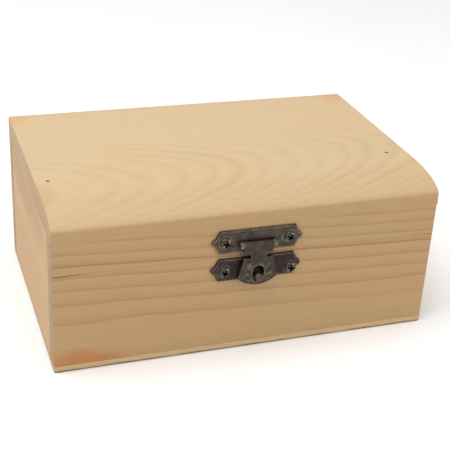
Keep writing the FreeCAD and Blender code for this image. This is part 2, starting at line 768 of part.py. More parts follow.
def hinge_pin(hinge, middle):
    """A pin through all three knuckles, with a small ball at each end."""
    label = f"{hinge}_pin"
    deep, high = f"{BACK} + hinge_pin_out", "seam_height"
    shank = rod(f"{label}_shank", "hinge_pin_diameter / 2", "hinge_width", (middle, deep, high))
    balls = []
    for side, angles in ((-1, (-90, 0)), (1, (0, 90))):
        ball = doc.addObject("Part::Sphere", f"{label}_ball_{len(balls) + 1}")
        ball.setExpression("Radius", linked("pin_head"))
        ball.Angle1, ball.Angle2 = angles
        along_x = FreeCAD.Rotation(FreeCAD.Vector(0, 1, 0), 90)
        end = f"{middle} + {side} * hinge_width / 2"
        place(ball, (end, deep, high), along_x)
        balls.append(ball)
    pin = doc.addObject("Part::MultiFuse", label)
    pin.Label = label
    pin.Shapes = [shank] + balls
    doc.recompute()
    return pin


half_middle = "middle_knuckle / 2"
inner_end = f"{half_middle} + knuckle_gap"
outer_knuckles = [
    ("-hinge_width / 2", f"-({inner_end})"),
    (inner_end, "hinge_width / 2"),
]
middle_knuckles = [(f"-{half_middle}", half_middle)]
tight_bore = "hinge_pin_diameter / 2"
free_bore = "hinge_pin_diameter / 2 + hinge_clearance"
hinge_parts = []
for hinge, middle in HINGES.items():
    hinge_parts += [
        leaf(hinge, middle, "base", -1, outer_knuckles, tight_bore),
        leaf(hinge, middle, "lid", 1, middle_knuckles, free_bore),
        hinge_pin(hinge, middle),
    ]


# ---- check the whole document, then write one file for each piece ----

fasteners = [hasp_upper_screws, hasp_lower_screws, lid_nails, bottom_nails]
fasteners += hinge_screws.values()
pieces = base_parts + lid_parts + hasp_parts + hinge_parts + fasteners
doc.recompute()
for thing in doc.Objects:
    if "Invalid" in thing.State or "Error" in thing.State:
        raise ValueError(f"{thing.Label} failed: {thing.State}")
for piece in pieces:
    if piece.Shape.isNull() or not piece.Shape.isValid():
        raise ValueError(f"{piece.Label} has no valid shape")
os.makedirs("parts", exist_ok=True)
for piece in pieces:
    piece.Shape.exportStep(f"parts/{piece.Label}.step")
    print(piece.Label, len(piece.Shape.Solids), round(piece.Shape.Volume, 2))
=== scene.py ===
import json
import math

import bmesh
import bpy
from mathutils import Matrix, Vector


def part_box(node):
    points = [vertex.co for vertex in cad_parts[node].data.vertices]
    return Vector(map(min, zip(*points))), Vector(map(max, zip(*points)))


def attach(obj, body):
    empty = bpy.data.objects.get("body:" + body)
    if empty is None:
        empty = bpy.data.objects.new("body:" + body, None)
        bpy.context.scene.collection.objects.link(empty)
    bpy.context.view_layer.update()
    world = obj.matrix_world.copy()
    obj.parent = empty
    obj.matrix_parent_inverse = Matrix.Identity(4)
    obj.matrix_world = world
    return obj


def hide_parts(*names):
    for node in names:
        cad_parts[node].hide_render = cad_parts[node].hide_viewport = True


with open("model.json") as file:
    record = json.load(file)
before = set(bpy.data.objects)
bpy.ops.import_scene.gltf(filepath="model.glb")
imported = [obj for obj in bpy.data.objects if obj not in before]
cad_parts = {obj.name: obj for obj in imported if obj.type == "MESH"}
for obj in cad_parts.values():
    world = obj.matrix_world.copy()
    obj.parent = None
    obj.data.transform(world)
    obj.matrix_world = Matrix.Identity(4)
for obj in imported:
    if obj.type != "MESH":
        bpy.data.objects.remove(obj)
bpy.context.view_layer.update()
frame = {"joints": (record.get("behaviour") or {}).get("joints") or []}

MM = 0.001


def box_mm(node):
    """A CAD node's lowest and highest corners, in millimetres."""
    low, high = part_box(node)
    return Vector(low) / MM, Vector(high) / MM


CASE_LOW = box_mm("bottom_panel")[0]
CASE_HIGH = box_mm("lid_top_board")[1]
FRONT_Y = CASE_LOW.y
BACK_Y = CASE_HIGH.y
SEAM_Z = box_mm("base_front_board")[1].z
HASP_X = (box_mm("hasp_upper_plate")[0].x + box_mm("hasp_upper_plate")[1].x) / 2
JOINTS = {joint["name"]: Vector(joint["pos_m"]) / MM for joint in frame["joints"]}
PIN = JOINTS["tongue_hinge"]
BARREL = 1.5
PLATE_LOW, PLATE_HIGH = box_mm("hasp_lower_plate")
PLATE_FRONT = PLATE_LOW.y


# ---------------------------------------------------------------- materials


class Graph:
    """A material's nodes, made by short calls. Lengths in it are millimetres."""

    def __init__(self, name):
        self.material = bpy.data.materials.new(name)
        self.material.use_nodes = True
        self.tree = self.material.node_tree
        self.tree.nodes.clear()
        self.shader = self.node("ShaderNodeBsdfPrincipled")
        self.output = self.node("ShaderNodeOutputMaterial")
        self.link(self.shader.outputs["BSDF"], self.output.inputs["Surface"])
        self.place = self.node("ShaderNodeTexCoord")
        scaled = self.node("ShaderNodeVectorMath", operation="SCALE")
        scaled.inputs["Scale"].default_value = 1 / MM
        self.link(self.place.outputs["Object"], scaled.inputs[0])
        self.spot = scaled.outputs[0]
        apart = self.node("ShaderNodeSeparateXYZ")
        self.link(self.spot, apart.inputs[0])
        self.x, self.y, self.z = apart.outputs

    def node(self, kind, **settings):
        made = self.tree.nodes.new(kind)
        for name, value in settings.items():
            setattr(made, name, value)
        return made

    def link(self, source, socket):
        self.tree.links.new(source, socket)

    def feed(self, socket, value):
        if isinstance(value, bpy.types.NodeSocket):
            self.link(value, socket)
        else:
            socket.default_value = value

    def math(self, operation, *values, clamp=False):
        made = self.node("ShaderNodeMath", operation=operation, use_clamp=clamp)
        for socket, value in zip(made.inputs, values):
            self.feed(socket, value)
        return made.outputs[0]

    def join(self, x, y, z):
        made = self.node("ShaderNodeCombineXYZ")
        for socket, value in zip(made.inputs, (x, y, z)):
            self.feed(socket, value)
        return made.outputs[0]

    def noise(self, vector, detail=2.0, roughness=0.5):
        made = self.node("ShaderNodeTexNoise", noise_dimensions="3D")
        made.inputs["Scale"].default_value = 1.0
        made.inputs["Detail"].default_value = detail
        made.inputs["Roughness"].default_value = roughness
        self.link(vector, made.inputs["Vector"])
        return made.outputs["Fac"]

    def stretched(self, x, y, z, shift=0.0):
        """The place, scaled by a number along each axis."""
        scaled = [self.math("MULTIPLY", v, s) for v, s in zip((self.x, self.y, self.z), (x, y, z))]
        return self.join(self.math("ADD", scaled[0], shift), *scaled[1:])

    def ramp(self, value, stops, smooth=False):
        made = self.node("ShaderNodeValToRGB")
        made.color_ramp.interpolation = "EASE" if smooth else "LINEAR"
        elements = made.color_ramp.elements
        while len(elements) > 1:
            elements.remove(elements[-1])
        for i, (position, shade) in enumerate(stops):
            element = elements[0] if i == 0 else elements.new(position)
            element.position = position
            colour = shade if isinstance(shade, tuple) else (shade, shade, shade)
            element.color = (*colour, 1)
        self.link(value, made.inputs["Fac"])
        return made.outputs["Color"]

    def mix(self, factor, first, second, blend="MIX"):
        made = self.node("ShaderNodeMix", data_type="RGBA", blend_type=blend)
        self.feed(made.inputs["Factor"], factor)
        colour_sockets = [s for s in made.inputs if s.type == "RGBA"]
        for socket, value in zip(colour_sockets, (first, second)):
            self.feed(socket, (*value, 1) if isinstance(value, tuple) else value)
        return [s for s in made.outputs if s.type == "RGBA"][0]

    def remap(self, value, low, high, new_low, new_high):
        made = self.node("ShaderNodeMapRange")
        for socket, number in zip(made.inputs, (value, low, high, new_low, new_high)):
            self.feed(socket, number)
        return made.outputs[0]

    def bump(self, height, depth_mm, strength):
        made = self.node("ShaderNodeBump")
        made.inputs["Distance"].default_value = depth_mm * MM
        made.inputs["Strength"].default_value = strength
        self.link(height, made.inputs["Height"])
        self.link(made.outputs[0], self.shader.inputs["Normal"])

    def facing(self, axis):
        """How squarely the surface faces along an axis of its own, 0 to 1."""
        apart = self.node("ShaderNodeSeparateXYZ")
        self.link(self.place.outputs["Normal"], apart.inputs[0])
        return self.math("ABSOLUTE", apart.outputs["XYZ".index(axis)])


def srgb(red, green, blue):
    """An 8-bit sRGB colour as linear numbers."""
    def line(c):
        c /= 255
        return c / 12.92 if c <= 0.04045 else ((c + 0.055) / 1.055) ** 2.4
    return tuple(round(line(c), 4) for c in (red, green, blue))


# how a ring darkens from its spring wood to its summer wood: (place, darkness)
CRISP_RING = [(0.0, 0.0), (0.45, 0.06), (0.78, 0.34), (0.9, 1.0), (0.96, 0.6), (1.0, 0.0)]
SOFT_RING = [(0.0, 0.0), (0.4, 0.35), (0.72, 1.0), (1.0, 0.0)]
# the same seen from the far side: sudden below, fading upwards
FALLING_RING = [(0.0, 0.0), (0.06, 0.8), (0.12, 1.0), (0.24, 0.45), (0.5, 0.12), (1.0, 0.0)]


def pine(name, along, pith, lean=(0, 0), taper=0.0, spacing=2.5, light=(0, 0, 0),
         dark=(0, 0, 0), contrast=0.6, wander=1.6, flecks=0.15, seed=0.0, stains_and_shadows=(),
         ring_shape=CRISP_RING, front_face_shade=None, floor_contact_shadow=False, offset=0.0, unevenness=1.6,
         calm=None, end_tint=(0.86, 0.87, 0.9)):
    """Bare pine, as a solid texture cut from a log.

    along is the axis of the grain. pith is where the log's middle crosses the
    plane at right angles to it, and lean how far it drifts per millimetre.
    taper narrows the log along the grain, so that a flat cut shows arches.
    stains are (x, y, z, reach, colour, strength): resin and heartwood patches, and patches of painted
    shadow.
    calm is (axis, start, end, share): the rings weaken to that share along it.
    """
    g = Graph(name)
    run = {"X": (g.x, g.y, g.z), "Y": (g.y, g.x, g.z)}[along]
    u, v, w = run
    fine = {"X": (0.03, 1.0, 1.0), "Y": (1.0, 0.03, 1.0)}[along]
    slow = {"X": (0.018, 0.04, 0.04), "Y": (0.04, 0.018, 0.04)}[along]

    def centred(value, size):
        return g.math("MULTIPLY", g.math("SUBTRACT", value, 0.5), size)

    wave = centred(g.noise(g.stretched(*slow, shift=seed), detail=2.0), 2 * wander)
    ripple = centred(g.noise(g.stretched(*[s * 3.5 for s in slow], shift=seed + 9)), wander / 2)
    offsets = []
    for across, middle, drift in ((v, pith[0], lean[0]), (w, pith[1], lean[1])):
        away = g.math("SUBTRACT", across, middle)
        away = g.math("SUBTRACT", away, g.math("MULTIPLY", u, drift))
        offsets.append(g.math("MULTIPLY", away, away))
    radius = g.math("SQRT", g.math("ADD", *offsets))
    radius = g.math("ADD", radius, g.math("MULTIPLY", u, taper))
    radius = g.math("ADD", radius, g.math("ADD", wave, ripple))
    uneven = centred(g.noise(g.join(g.math("MULTIPLY", radius, 0.13), seed, 0.0)), unevenness)
    phase = g.math("ADD", g.math("ADD", g.math("DIVIDE", radius, spacing), uneven), offset)
    ring = g.ramp(g.math("FRACT", phase), ring_shape)
    each = g.node("ShaderNodeTexWhiteNoise", noise_dimensions="1D")
    g.link(g.math("FLOOR", phase), each.inputs["W"])
    strength = g.remap(each.outputs["Value"], 0.0, 1.0, 0.3, 1.0)
    ring = g.math("MULTIPLY", ring, g.math("MULTIPLY", strength, contrast))
    if front_face_shade:
        # rings hardly show where the sanded nosing curves away
        ring = g.math("MULTIPLY", ring, g.remap(g.facing("Y"), 0.15, 0.75, 1.0, 0.25))
    if calm:
        axis, start, end, share = calm
        ring = g.math("MULTIPLY", ring, g.remap((g.x, g.y, g.z)["XYZ".index(axis)],
                                                start, end, 1.0, share))

    fibre = g.noise(g.stretched(*[s * 2.2 for s in fine], shift=seed), 4.0, 0.6)
    thread = g.noise(g.stretched(*[s * 7.0 for s in fine], shift=seed + 3), 2.0)
    colour = g.mix(ring, light, dark)
    colour = g.mix(1.0, colour, g.ramp(fibre, [(0.3, 0.93), (0.7, 1.05)]), "MULTIPLY")
    colour = g.mix(1.0, colour, g.ramp(thread, [(0.3, 0.975), (0.7, 1.02)]), "MULTIPLY")

    short = {"X": (0.22, 2.4, 2.4), "Y": (2.4, 0.22, 2.4)}[along]
    fleck = g.ramp(g.noise(g.stretched(*short, shift=seed + 5), 1.0),
                   [(0.66, 0.0), (0.76, 1.0)])
    colour = g.mix(g.math("MULTIPLY", fleck, flecks), colour, dark)

    cloud = g.noise(g.stretched(0.02, 0.03, 0.03, shift=seed + 12), 2.0)
    warm = tuple(c * f for c, f in zip(light, (1.02, 0.93, 0.82)))
    cool = tuple(c * f for c, f in zip(light, (0.96, 0.99, 1.0)))
    tone = g.ramp(cloud, [(0.35, cool), (0.65, warm)])
    colour = g.mix(0.3, colour, g.mix(ring, tone, dark))

    # end grain drinks up the light, so it is greyer and a little darker
    ends = g.ramp(g.facing(along), [(0.7, 0.0), (0.95, 1.0)])
    dull = tuple(c * f for c, f in zip(light, end_tint))
    pores = g.ramp(g.noise(g.stretched(3.2, 3.2, 3.2, shift=seed), 2.0), [(0.35, 0.88), (0.6, 1.03)])
    grey = g.mix(g.math("MULTIPLY", ring, 0.8), dull, tuple(c * 0.8 for c in dark))
    grey = g.mix(1.0, grey, pores, "MULTIPLY")
    colour = g.mix(ends, colour, grey)

    streak = {"X": (0.08, 0.3, 0.3), "Y": (0.3, 0.08, 0.3)}[along]
    # each patch blends its colour in by distance; the resin and heartwood patches are stains, the
    # dark ones at the hasp are painted shadow
    for x, y, z, reach, stain_and_shadow_colour, amount in stains_and_shadows:
        gone = []
        for value, middle, size in zip((g.x, g.y, g.z), (x, y, z), reach):
            step = g.math("DIVIDE", g.math("SUBTRACT", value, middle), size)
            gone.append(g.math("MULTIPLY", step, step))
        far = g.math("SQRT", g.math("ADD", g.math("ADD", gone[0], gone[1]), gone[2]))
        far = g.math("ADD", far, centred(g.noise(g.stretched(*streak, shift=seed)), 0.6))
        near = g.ramp(far, [(0.35, 1.0), (1.0, 0.0)], smooth=True)
        colour = g.mix(g.math("MULTIPLY", near, amount), colour, stain_and_shadow_colour)

    if front_face_shade:
        # painted shade: the board's upright front face is darkened and browned, and the curved nosing
        # darkens gradually towards it
        upright = g.ramp(g.facing("Y"), [(0.0, 0.0), (0.12, 0.22), (0.8, 0.6), (0.97, 1.0)])
        colour = g.mix(upright, colour, g.mix(1.0, colour, front_face_shade, "MULTIPLY"))
    if floor_contact_shadow:
        # painted contact shadow: the lowest edge of the panel's sides, where the box meets the floor,
        # is darkened
        uneven_z = g.math("ADD", g.z, centred(g.noise(g.stretched(0.12, 0.12, 0.5, shift=seed)), 0.9))
        contact_shadow_mask = g.ramp(uneven_z, [(0.35, 1.0), (0.85, 0.0)])
        side = g.ramp(g.facing("Z"), [(0.4, 1.0), (0.8, 0.0)])
        contact_shadow_mask = g.math("MULTIPLY", g.math("MULTIPLY", contact_shadow_mask, side), 0.85)
        colour = g.mix(contact_shadow_mask, colour, CONTACT_SHADOW)

    g.link(colour, g.shader.inputs["Base Color"])
    rough = g.remap(fibre, 0.2, 0.8, 0.5, 0.68)
    g.link(rough, g.shader.inputs["Roughness"])
    g.shader.inputs["IOR"].default_value = 1.42
    height = g.math("ADD", g.math("MULTIPLY", fibre, 0.7), g.math("MULTIPLY", ring, 0.5))
    height = g.math("ADD", height, g.math("MULTIPLY", thread, 0.3))
    g.bump(height, 0.09, 0.55)
    return g.material


def bronze(name, shadow, body, rubbed, wear=0.5, gloss=(0.36, 0.58), seed=0.0, proud=None,
           metallic=0.82):
    """Antique bronze plating: dark in blotches and specks, rubbed on the edges. The near-black in
    recesses and gaps is painted shade, a separate material left there by the cutters. where the front
    starts to be rubbed, and where it is fully so.
    """
    g = Graph(name)
    blotch = g.noise(g.stretched(0.35, 0.35, 0.35, shift=seed), 4.0, 0.6)
    speck = g.noise(g.stretched(2.6, 2.6, 2.6, shift=seed + 4), 3.0, 0.65)
    colour = g.mix(g.ramp(blotch, [(0.3, 0.0), (0.7, 1.0)]), shadow, body)
    colour = g.mix(g.ramp(speck, [(0.45, 0.0), (0.75, 0.6)]), colour, shadow)
    shape = g.node("ShaderNodeNewGeometry")
    edge = g.ramp(shape.outputs["Pointiness"], [(0.505, 0.0), (0.58, 1.0)])
    patchy = g.math("MULTIPLY", edge, g.ramp(blotch, [(0.25, 0.35), (0.7, 1.0)]))
    colour = g.mix(g.math("MULTIPLY", patchy, wear), colour, rubbed)
    if proud:
        high = g.remap(g.y, *proud, 0.0, 1.0)
        high = g.math("MULTIPLY", high, g.ramp(blotch, [(0.3, 0.45), (0.6, 1.0)]))
        colour = g.mix(g.math("MULTIPLY", high, 0.34), colour, rubbed)
    g.link(colour, g.shader.inputs["Base Color"])
    g.shader.inputs["Metallic"].default_value = metallic
    g.link(g.remap(speck, 0.3, 0.7, *gloss), g.shader.inputs["Roughness"])
    g.bump(g.math("ADD", speck, g.math("MULTIPLY", blotch, 0.5)), 0.05, 0.35)
    return g.material


def floor_material():
    g = Graph("studio_floor")
    tone = g.noise(g.stretched(0.01, 0.01, 0.01), 2.0)
    g.link(g.ramp(tone, [(0.3, (0.93, 0.93, 0.93)), (0.7, (0.95, 0.95, 0.95))]),
           g.shader.inputs["Base Color"])
    g.shader.inputs["Roughness"].default_value = 0.9
    return g.material


LIGHT_TOP = srgb(203, 178, 141)
DARK_TOP = srgb(180, 147, 105)
LIGHT_FRONT = srgb(179, 147, 104)
DARK_FRONT = srgb(150, 96, 54)
LIGHT_LEFT = srgb(198, 164, 122)
DARK_LEFT = srgb(172, 136, 96)
REDDISH = srgb(178, 118, 66)
# painted shadow: the dark brown laid on the front wood behind the hasp
HASP_SHADOW = srgb(46, 34, 26)
ORANGE = srgb(204, 156, 104)
# painted contact shadow along the box's bottom edge
CONTACT_SHADOW = srgb(92, 66, 44)

# the front of lid and base was one board before the box was sawn open
pine_front = pine(
    "pine_front", "X", pith=(FRONT_Y - 58, -9), lean=(0.0, -0.045), spacing=3.08,
    light=LIGHT_FRONT, dark=DARK_FRONT, contrast=0.75, wander=1.0, flecks=0.1, seed=2.0,
    ring_shape=FALLING_RING, offset=0.27, unevenness=0.5, calm=("Z", 20, 13, 0.2),
    stains_and_shadows=[(CASE_LOW.x + 9, FRONT_Y, 2.5, (22, 24, 9), REDDISH, 0.85),
            # painted shadow on the wood: behind the upper plate's window round the pin, and round the
            # stud under the lower plate
            (HASP_X, FRONT_Y, PIN.z, (14, 6, 5), HASP_SHADOW, 0.95),
            (HASP_X, FRONT_Y, box_mm("hasp_stud")[0].z, (5, 4, 3), HASP_SHADOW, 0.95)],
)
pine_back = pine(
    "pine_back", "X", pith=(BACK_Y + 70, 12), lean=(0.0, 0.02), spacing=2.9,
    light=LIGHT_FRONT, dark=DARK_FRONT, contrast=0.6, wander=0.7, seed=14.0,
)
pine_top = pine(
    "pine_top", "X", pith=(FRONT_Y + 29, CASE_HIGH.z + 60), lean=(0.139, 0.0), taper=0.19,
    spacing=2.35, light=LIGHT_TOP, dark=DARK_TOP, contrast=0.42, wander=0.8, flecks=0.35, seed=5.0,
    # the tint below is painted shade for the board's upright front face and its nosing
    ring_shape=SOFT_RING, front_face_shade=(0.76, 0.65, 0.53), calm=("Y", -8, 18, 0.2),
    end_tint=(0.8, 0.74, 0.68),
    stains_and_shadows=[(CASE_LOW.x + 2, BACK_Y - 3, CASE_HIGH.z, (7, 11, 9), ORANGE, 0.5),
            (CASE_HIGH.x - 4, BACK_Y - 4, CASE_HIGH.z, (9, 12, 9), ORANGE, 0.5)],
)
pine_left = pine(
    "pine_left", "Y", pith=(CASE_LOW.x - 40, 20), lean=(0.0, 0.05), spacing=5.2,
    light=LIGHT_LEFT, dark=DARK_LEFT, contrast=0.3, wander=1.2, seed=8.0, ring_shape=SOFT_RING,
    stains_and_shadows=[(CASE_LOW.x, 8, 47.5, (30, 60, 10), srgb(176, 138, 94), 0.6)],
)
pine_right = pine(
    "pine_right", "Y", pith=(CASE_HIGH.x + 46, 10), lean=(0.0, -0.04), spacing=3.6,
    light=LIGHT_LEFT, dark=DARK_LEFT, contrast=0.5, wander=1.2, seed=21.0,
)
pine_panel = pine(
    "pine_panel", "X", pith=(10, -40), lean=(0.05, 0.0), spacing=2.0,
    # painted contact shadow along the panel's lowest edge
    light=srgb(196, 168, 128), dark=srgb(164, 132, 92), contrast=0.4, seed=30.0, floor_contact_shadow=True,
)
upper_bronze = bronze("upper_bronze", srgb(55, 47, 43), srgb(94, 83, 75), srgb(144, 131, 114),
                      proud=(PLATE_FRONT + 0.22, PLATE_FRONT + 0.02))
lower_bronze = bronze("lower_bronze", srgb(40, 31, 32), srgb(70, 57, 56), srgb(122, 108, 100),
                      proud=(PLATE_FRONT + 0.22, PLATE_FRONT + 0.02), seed=19.0)
tongue_bronze = bronze("tongue_bronze", srgb(50, 44, 37), srgb(84, 76, 66), srgb(132, 122, 104),
                       wear=0.8, seed=3.0, proud=(PIN.y - BARREL - 0.1, PIN.y - BARREL - 0.55))
screw_bronze = bronze("screw_bronze", srgb(32, 28, 25), srgb(66, 60, 53), srgb(140, 132, 118),
                      wear=0.8, gloss=(0.3, 0.48), seed=6.0)
stud_bronze = bronze("stud_bronze", srgb(66, 59, 47), srgb(98, 89, 72), srgb(140, 130, 108),
                     wear=0.6, gloss=(0.38, 0.55), seed=9.0)
hinge_bronze = bronze("hinge_bronze", srgb(40, 34, 28), srgb(80, 70, 58), srgb(140, 126, 104),
                      seed=15.0)
brad_steel = bronze("brad_steel", srgb(96, 76, 56), srgb(140, 116, 86), srgb(166, 144, 112),
                    gloss=(0.45, 0.6), seed=11.0, metallic=0.5)
# painted shade: a near-black finish that the cutters leave on the walls of screw recesses, slots,
# notches and knuckle gaps
cut_face_shade = bronze("cut_face_shade", srgb(14, 12, 11), srgb(26, 23, 21), srgb(40, 36, 32), wear=0.2,
               gloss=(0.6, 0.8), seed=17.0)
hole_brown = pine("hole_brown", "X", pith=(0, 0), light=srgb(150, 110, 70), dark=srgb(96, 64, 38),
                  seed=40.0)


# ---------------------------------------------------------------- mesh helpers


def add_rings(bm, rings, capped=True, closed=False):
    """Skin a list of rings, each a closed run of points, into faces."""
    made = [[bm.verts.new(Vector(p) * MM) for p in ring] for ring in rings]
    pairs = list(zip(made, made[1:]))
    if closed:
        pairs.append((made[-1], made[0]))
    for low, high in pairs:
        count = len(low)
        for i in range(count):
            j = (i + 1) % count
            bm.faces.new((low[i], low[j], high[j], high[i]))
    if capped and not closed:
        bm.faces.new(list(reversed(made[0])))
        bm.faces.new(made[-1])


def lathe(bm, profile, spot, axis, segments=32, hollow=False):
    """Turn (radius, height) pairs about an axis; a zero radius closes to a point.

    A hollow profile is closed on itself, as for a ring.
    """
    turn = Vector((0, 0, 1)).rotation_difference(Vector(axis)).to_matrix()
    loops = []
    for radius, height in profile:
        if radius < 1e-6:
            loops.append([bm.verts.new((turn @ Vector((0, 0, height)) + spot) * MM)])
            continue
        loop = []
        for k in range(segments):
            angle = 2 * math.pi * k / segments
            point = Vector((radius * math.cos(angle), radius * math.sin(angle), height))
            loop.append(bm.verts.new((turn @ point + spot) * MM))
        loops.append(loop)
    if hollow:
        loops.append(loops[0])
    for low, high in zip(loops, loops[1:]):
        for k in range(segments):
            n = (k + 1) % segments
            corners = [low[k % len(low)], low[n % len(low)], high[n % len(high)], high[k % len(high)]]
            corners = list(dict.fromkeys(corners))
            if len(corners) > 2:
                bm.faces.new(corners)
    for loop, flip in ((loops[0], True), (loops[-1], False)):
        if len(loop) > 1 and not hollow:
            bm.faces.new(list(reversed(loop)) if flip else loop)


def round_arc(radius, centre_radius, centre_height, start, end, steps=6):
    """Points of an arc in a lathe profile, angles in degrees from the axis' normal."""
    points = []
    for i in range(steps + 1):
        angle = math.radians(start + (end - start) * i / steps)
        points.append((centre_radius + radius * math.cos(angle),
                       centre_height + radius * math.sin(angle)))
    return points


def finish_mesh(name, bm, material, smooth_angle=32):
    bmesh.ops.remove_doubles(bm, verts=bm.verts, dist=1e-7)
    bmesh.ops.recalc_face_normals(bm, faces=bm.faces)
    mesh = bpy.data.meshes.new(name)
    bm.to_mesh(mesh)
    bm.free()
    mesh.polygons.foreach_set("use_smooth", [True] * len(mesh.polygons))
    mesh.set_sharp_from_angle(angle=math.radians(smooth_angle))
    mesh.materials.append(material)
    thing = bpy.data.objects.new(name, mesh)
    bpy.context.scene.collection.objects.link(thing)
    return thing


def settle(thing, body, nodes):
    """Ride a piece on its body, in place of CAD nodes."""
    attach(thing, body)
    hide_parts(*nodes)
    return thing


def cut_away(thing, cutters, smooth_angle=32, operation="DIFFERENCE"):
    """Subtract closed meshes from a piece, or join them, and keep the result as its mesh."""
    for cutter in cutters:
        change = thing.modifiers.new("cut", "BOOLEAN")
        change.operation = operation
        change.solver = "EXACT"
        # the cut faces take the cutter's material: painted shade from the near-black cutters, brown
        # wood from the nail holes
        change.material_mode = "TRANSFER"
        change.object = cutter
    graph = bpy.context.evaluated_depsgraph_get()
    mesh = bpy.data.meshes.new_from_object(thing.evaluated_get(graph))
    mesh.name = thing.name
    thing.modifiers.clear()
    thing.data = mesh
    mesh.polygons.foreach_set("use_smooth", [True] * len(mesh.polygons))
    mesh.set_sharp_from_angle(angle=math.radians(smooth_angle))
    for cutter in cutters:
        bpy.data.objects.remove(cutter)


# ---------------------------------------------------------------- boards


def plan_outline(low, high, radii, step=3.0, arc=5):
    """A rectangle seen from above, with a radius at each corner.

    radii are for the corners (left, front), (right, front), (right, back) and
    (left, back). Each point comes with its outward normal.
    """
    corners = [(low.x, low.y, 180), (high.x, low.y, 270), (high.x, high.y, 0), (low.x, high.y, 90)]
    points = []
    for (x, y, start), radius in zip(corners, radii):
        inward_x = radius if x == low.x else -radius
        inward_y = radius if y == low.y else -radius
        for i in range(arc + 1):
            angle = math.radians(start + 90 * i / arc)
            normal = Vector((math.cos(angle), math.sin(angle)))
            points.append((Vector((x + inward_x, y + inward_y)) + normal * radius, normal))
    full = []
    for i, (point, normal) in enumerate(points):
        full.append((point, normal))
        after, next_normal = points[(i + 1) % len(points)]
        gap = (after - point).length
        pieces = int(gap / step) if normal.dot(next_normal) > 0.999 else 0
        for k in range(1, pieces):
            full.append((point.lerp(after, k / pieces), normal))
    return full


def make_board(node, body, material, outer, seam=(0.05, 0.1), shape=None):
    """A board from its CAD box: outer corners rounded, other edges barely eased.

    outer flags the four upright corners that show. seam is how far the lower
    and the upper edges are eased. shape(x, y, z) may move a point a little.
    """
    low, high = box_mm(node)
    radii = [0.8 if shows else 0.06 for shows in outer]
    outline = plan_outline(low, high, radii)
    levels = []
    for height, ease, sign in ((low.z, seam[0], 1), (high.z, seam[1], -1)):
        run = []
        for i in range(4):
            angle = math.radians(90 * i / 3)
            inset = ease * (1 - math.sin(angle))
            run.append((height + sign * ease * (1 - math.cos(angle)), inset))
        levels += run if sign > 0 else list(reversed(run))
    middle = [(low.z + (high.z - low.z) * k / 6, 0.0) for k in range(1, 6)]
    levels = levels[:4] + middle + levels[4:]
    rings = []
    for z, inset in levels:
        ring = []
        for point, normal in outline:
            spot = Vector((*(point - normal * inset), z))
            ring.append(shape(spot) if shape else spot)
        rings.append(ring)
    bm = bmesh.new()
    add_rings(bm, rings)
    return settle(finish_mesh(f"{node}_wood", bm, material), body, [node])


def fade(value, start, end):
    """1 at start, falling smoothly to 0 at end."""
    t = min(max((value - start) / (end - start), 0.0), 1.0)
    return 1 - t * t * (3 - 2 * t)


def sawn_top_edge(spot):
    """The base's front board is slightly low at both ends, where the seam gapes."""
    near_seam = fade(SEAM_Z - spot.z, 0.0, 1.5)
    near_face = fade(spot.y - FRONT_Y, 0.5, 5.0)
    left = fade(spot.x - CASE_LOW.x, 5.0, 15.0)
    right = 0.6 * fade(CASE_HIGH.x - spot.x, 2.0, 10.0)
    return spot - Vector((0, 0, 0.32 * near_seam * near_face * max(left, right)))


FRONT_ENDS = (True, True, False, False)
BACK_ENDS = (False, False, True, True)
HIDDEN_ENDS = (False, False, False, False)
ALL_ENDS = (True, True, True, True)

make_board("base_front_board", "base", pine_front, FRONT_ENDS, shape=sawn_top_edge)
make_board("base_back_board", "base", pine_back, BACK_ENDS)
make_board("base_left_board", "base", pine_left, HIDDEN_ENDS)
make_board("base_right_board", "base", pine_right, HIDDEN_ENDS)
make_board("bottom_panel", "base", pine_panel, ALL_ENDS, seam=(0.3, 0.12))
make_board("lid_front_rail", "lid", pine_front, FRONT_ENDS, seam=(0.1, 0.05))
make_board("lid_back_rail", "lid", pine_back, BACK_ENDS, seam=(0.1, 0.05))
make_board("lid_left_rail", "lid", pine_left, HIDDEN_ENDS, seam=(0.1, 0.05))
make_board("lid_right_rail", "lid", pine_right, HIDDEN_ENDS, seam=(0.1, 0.05))


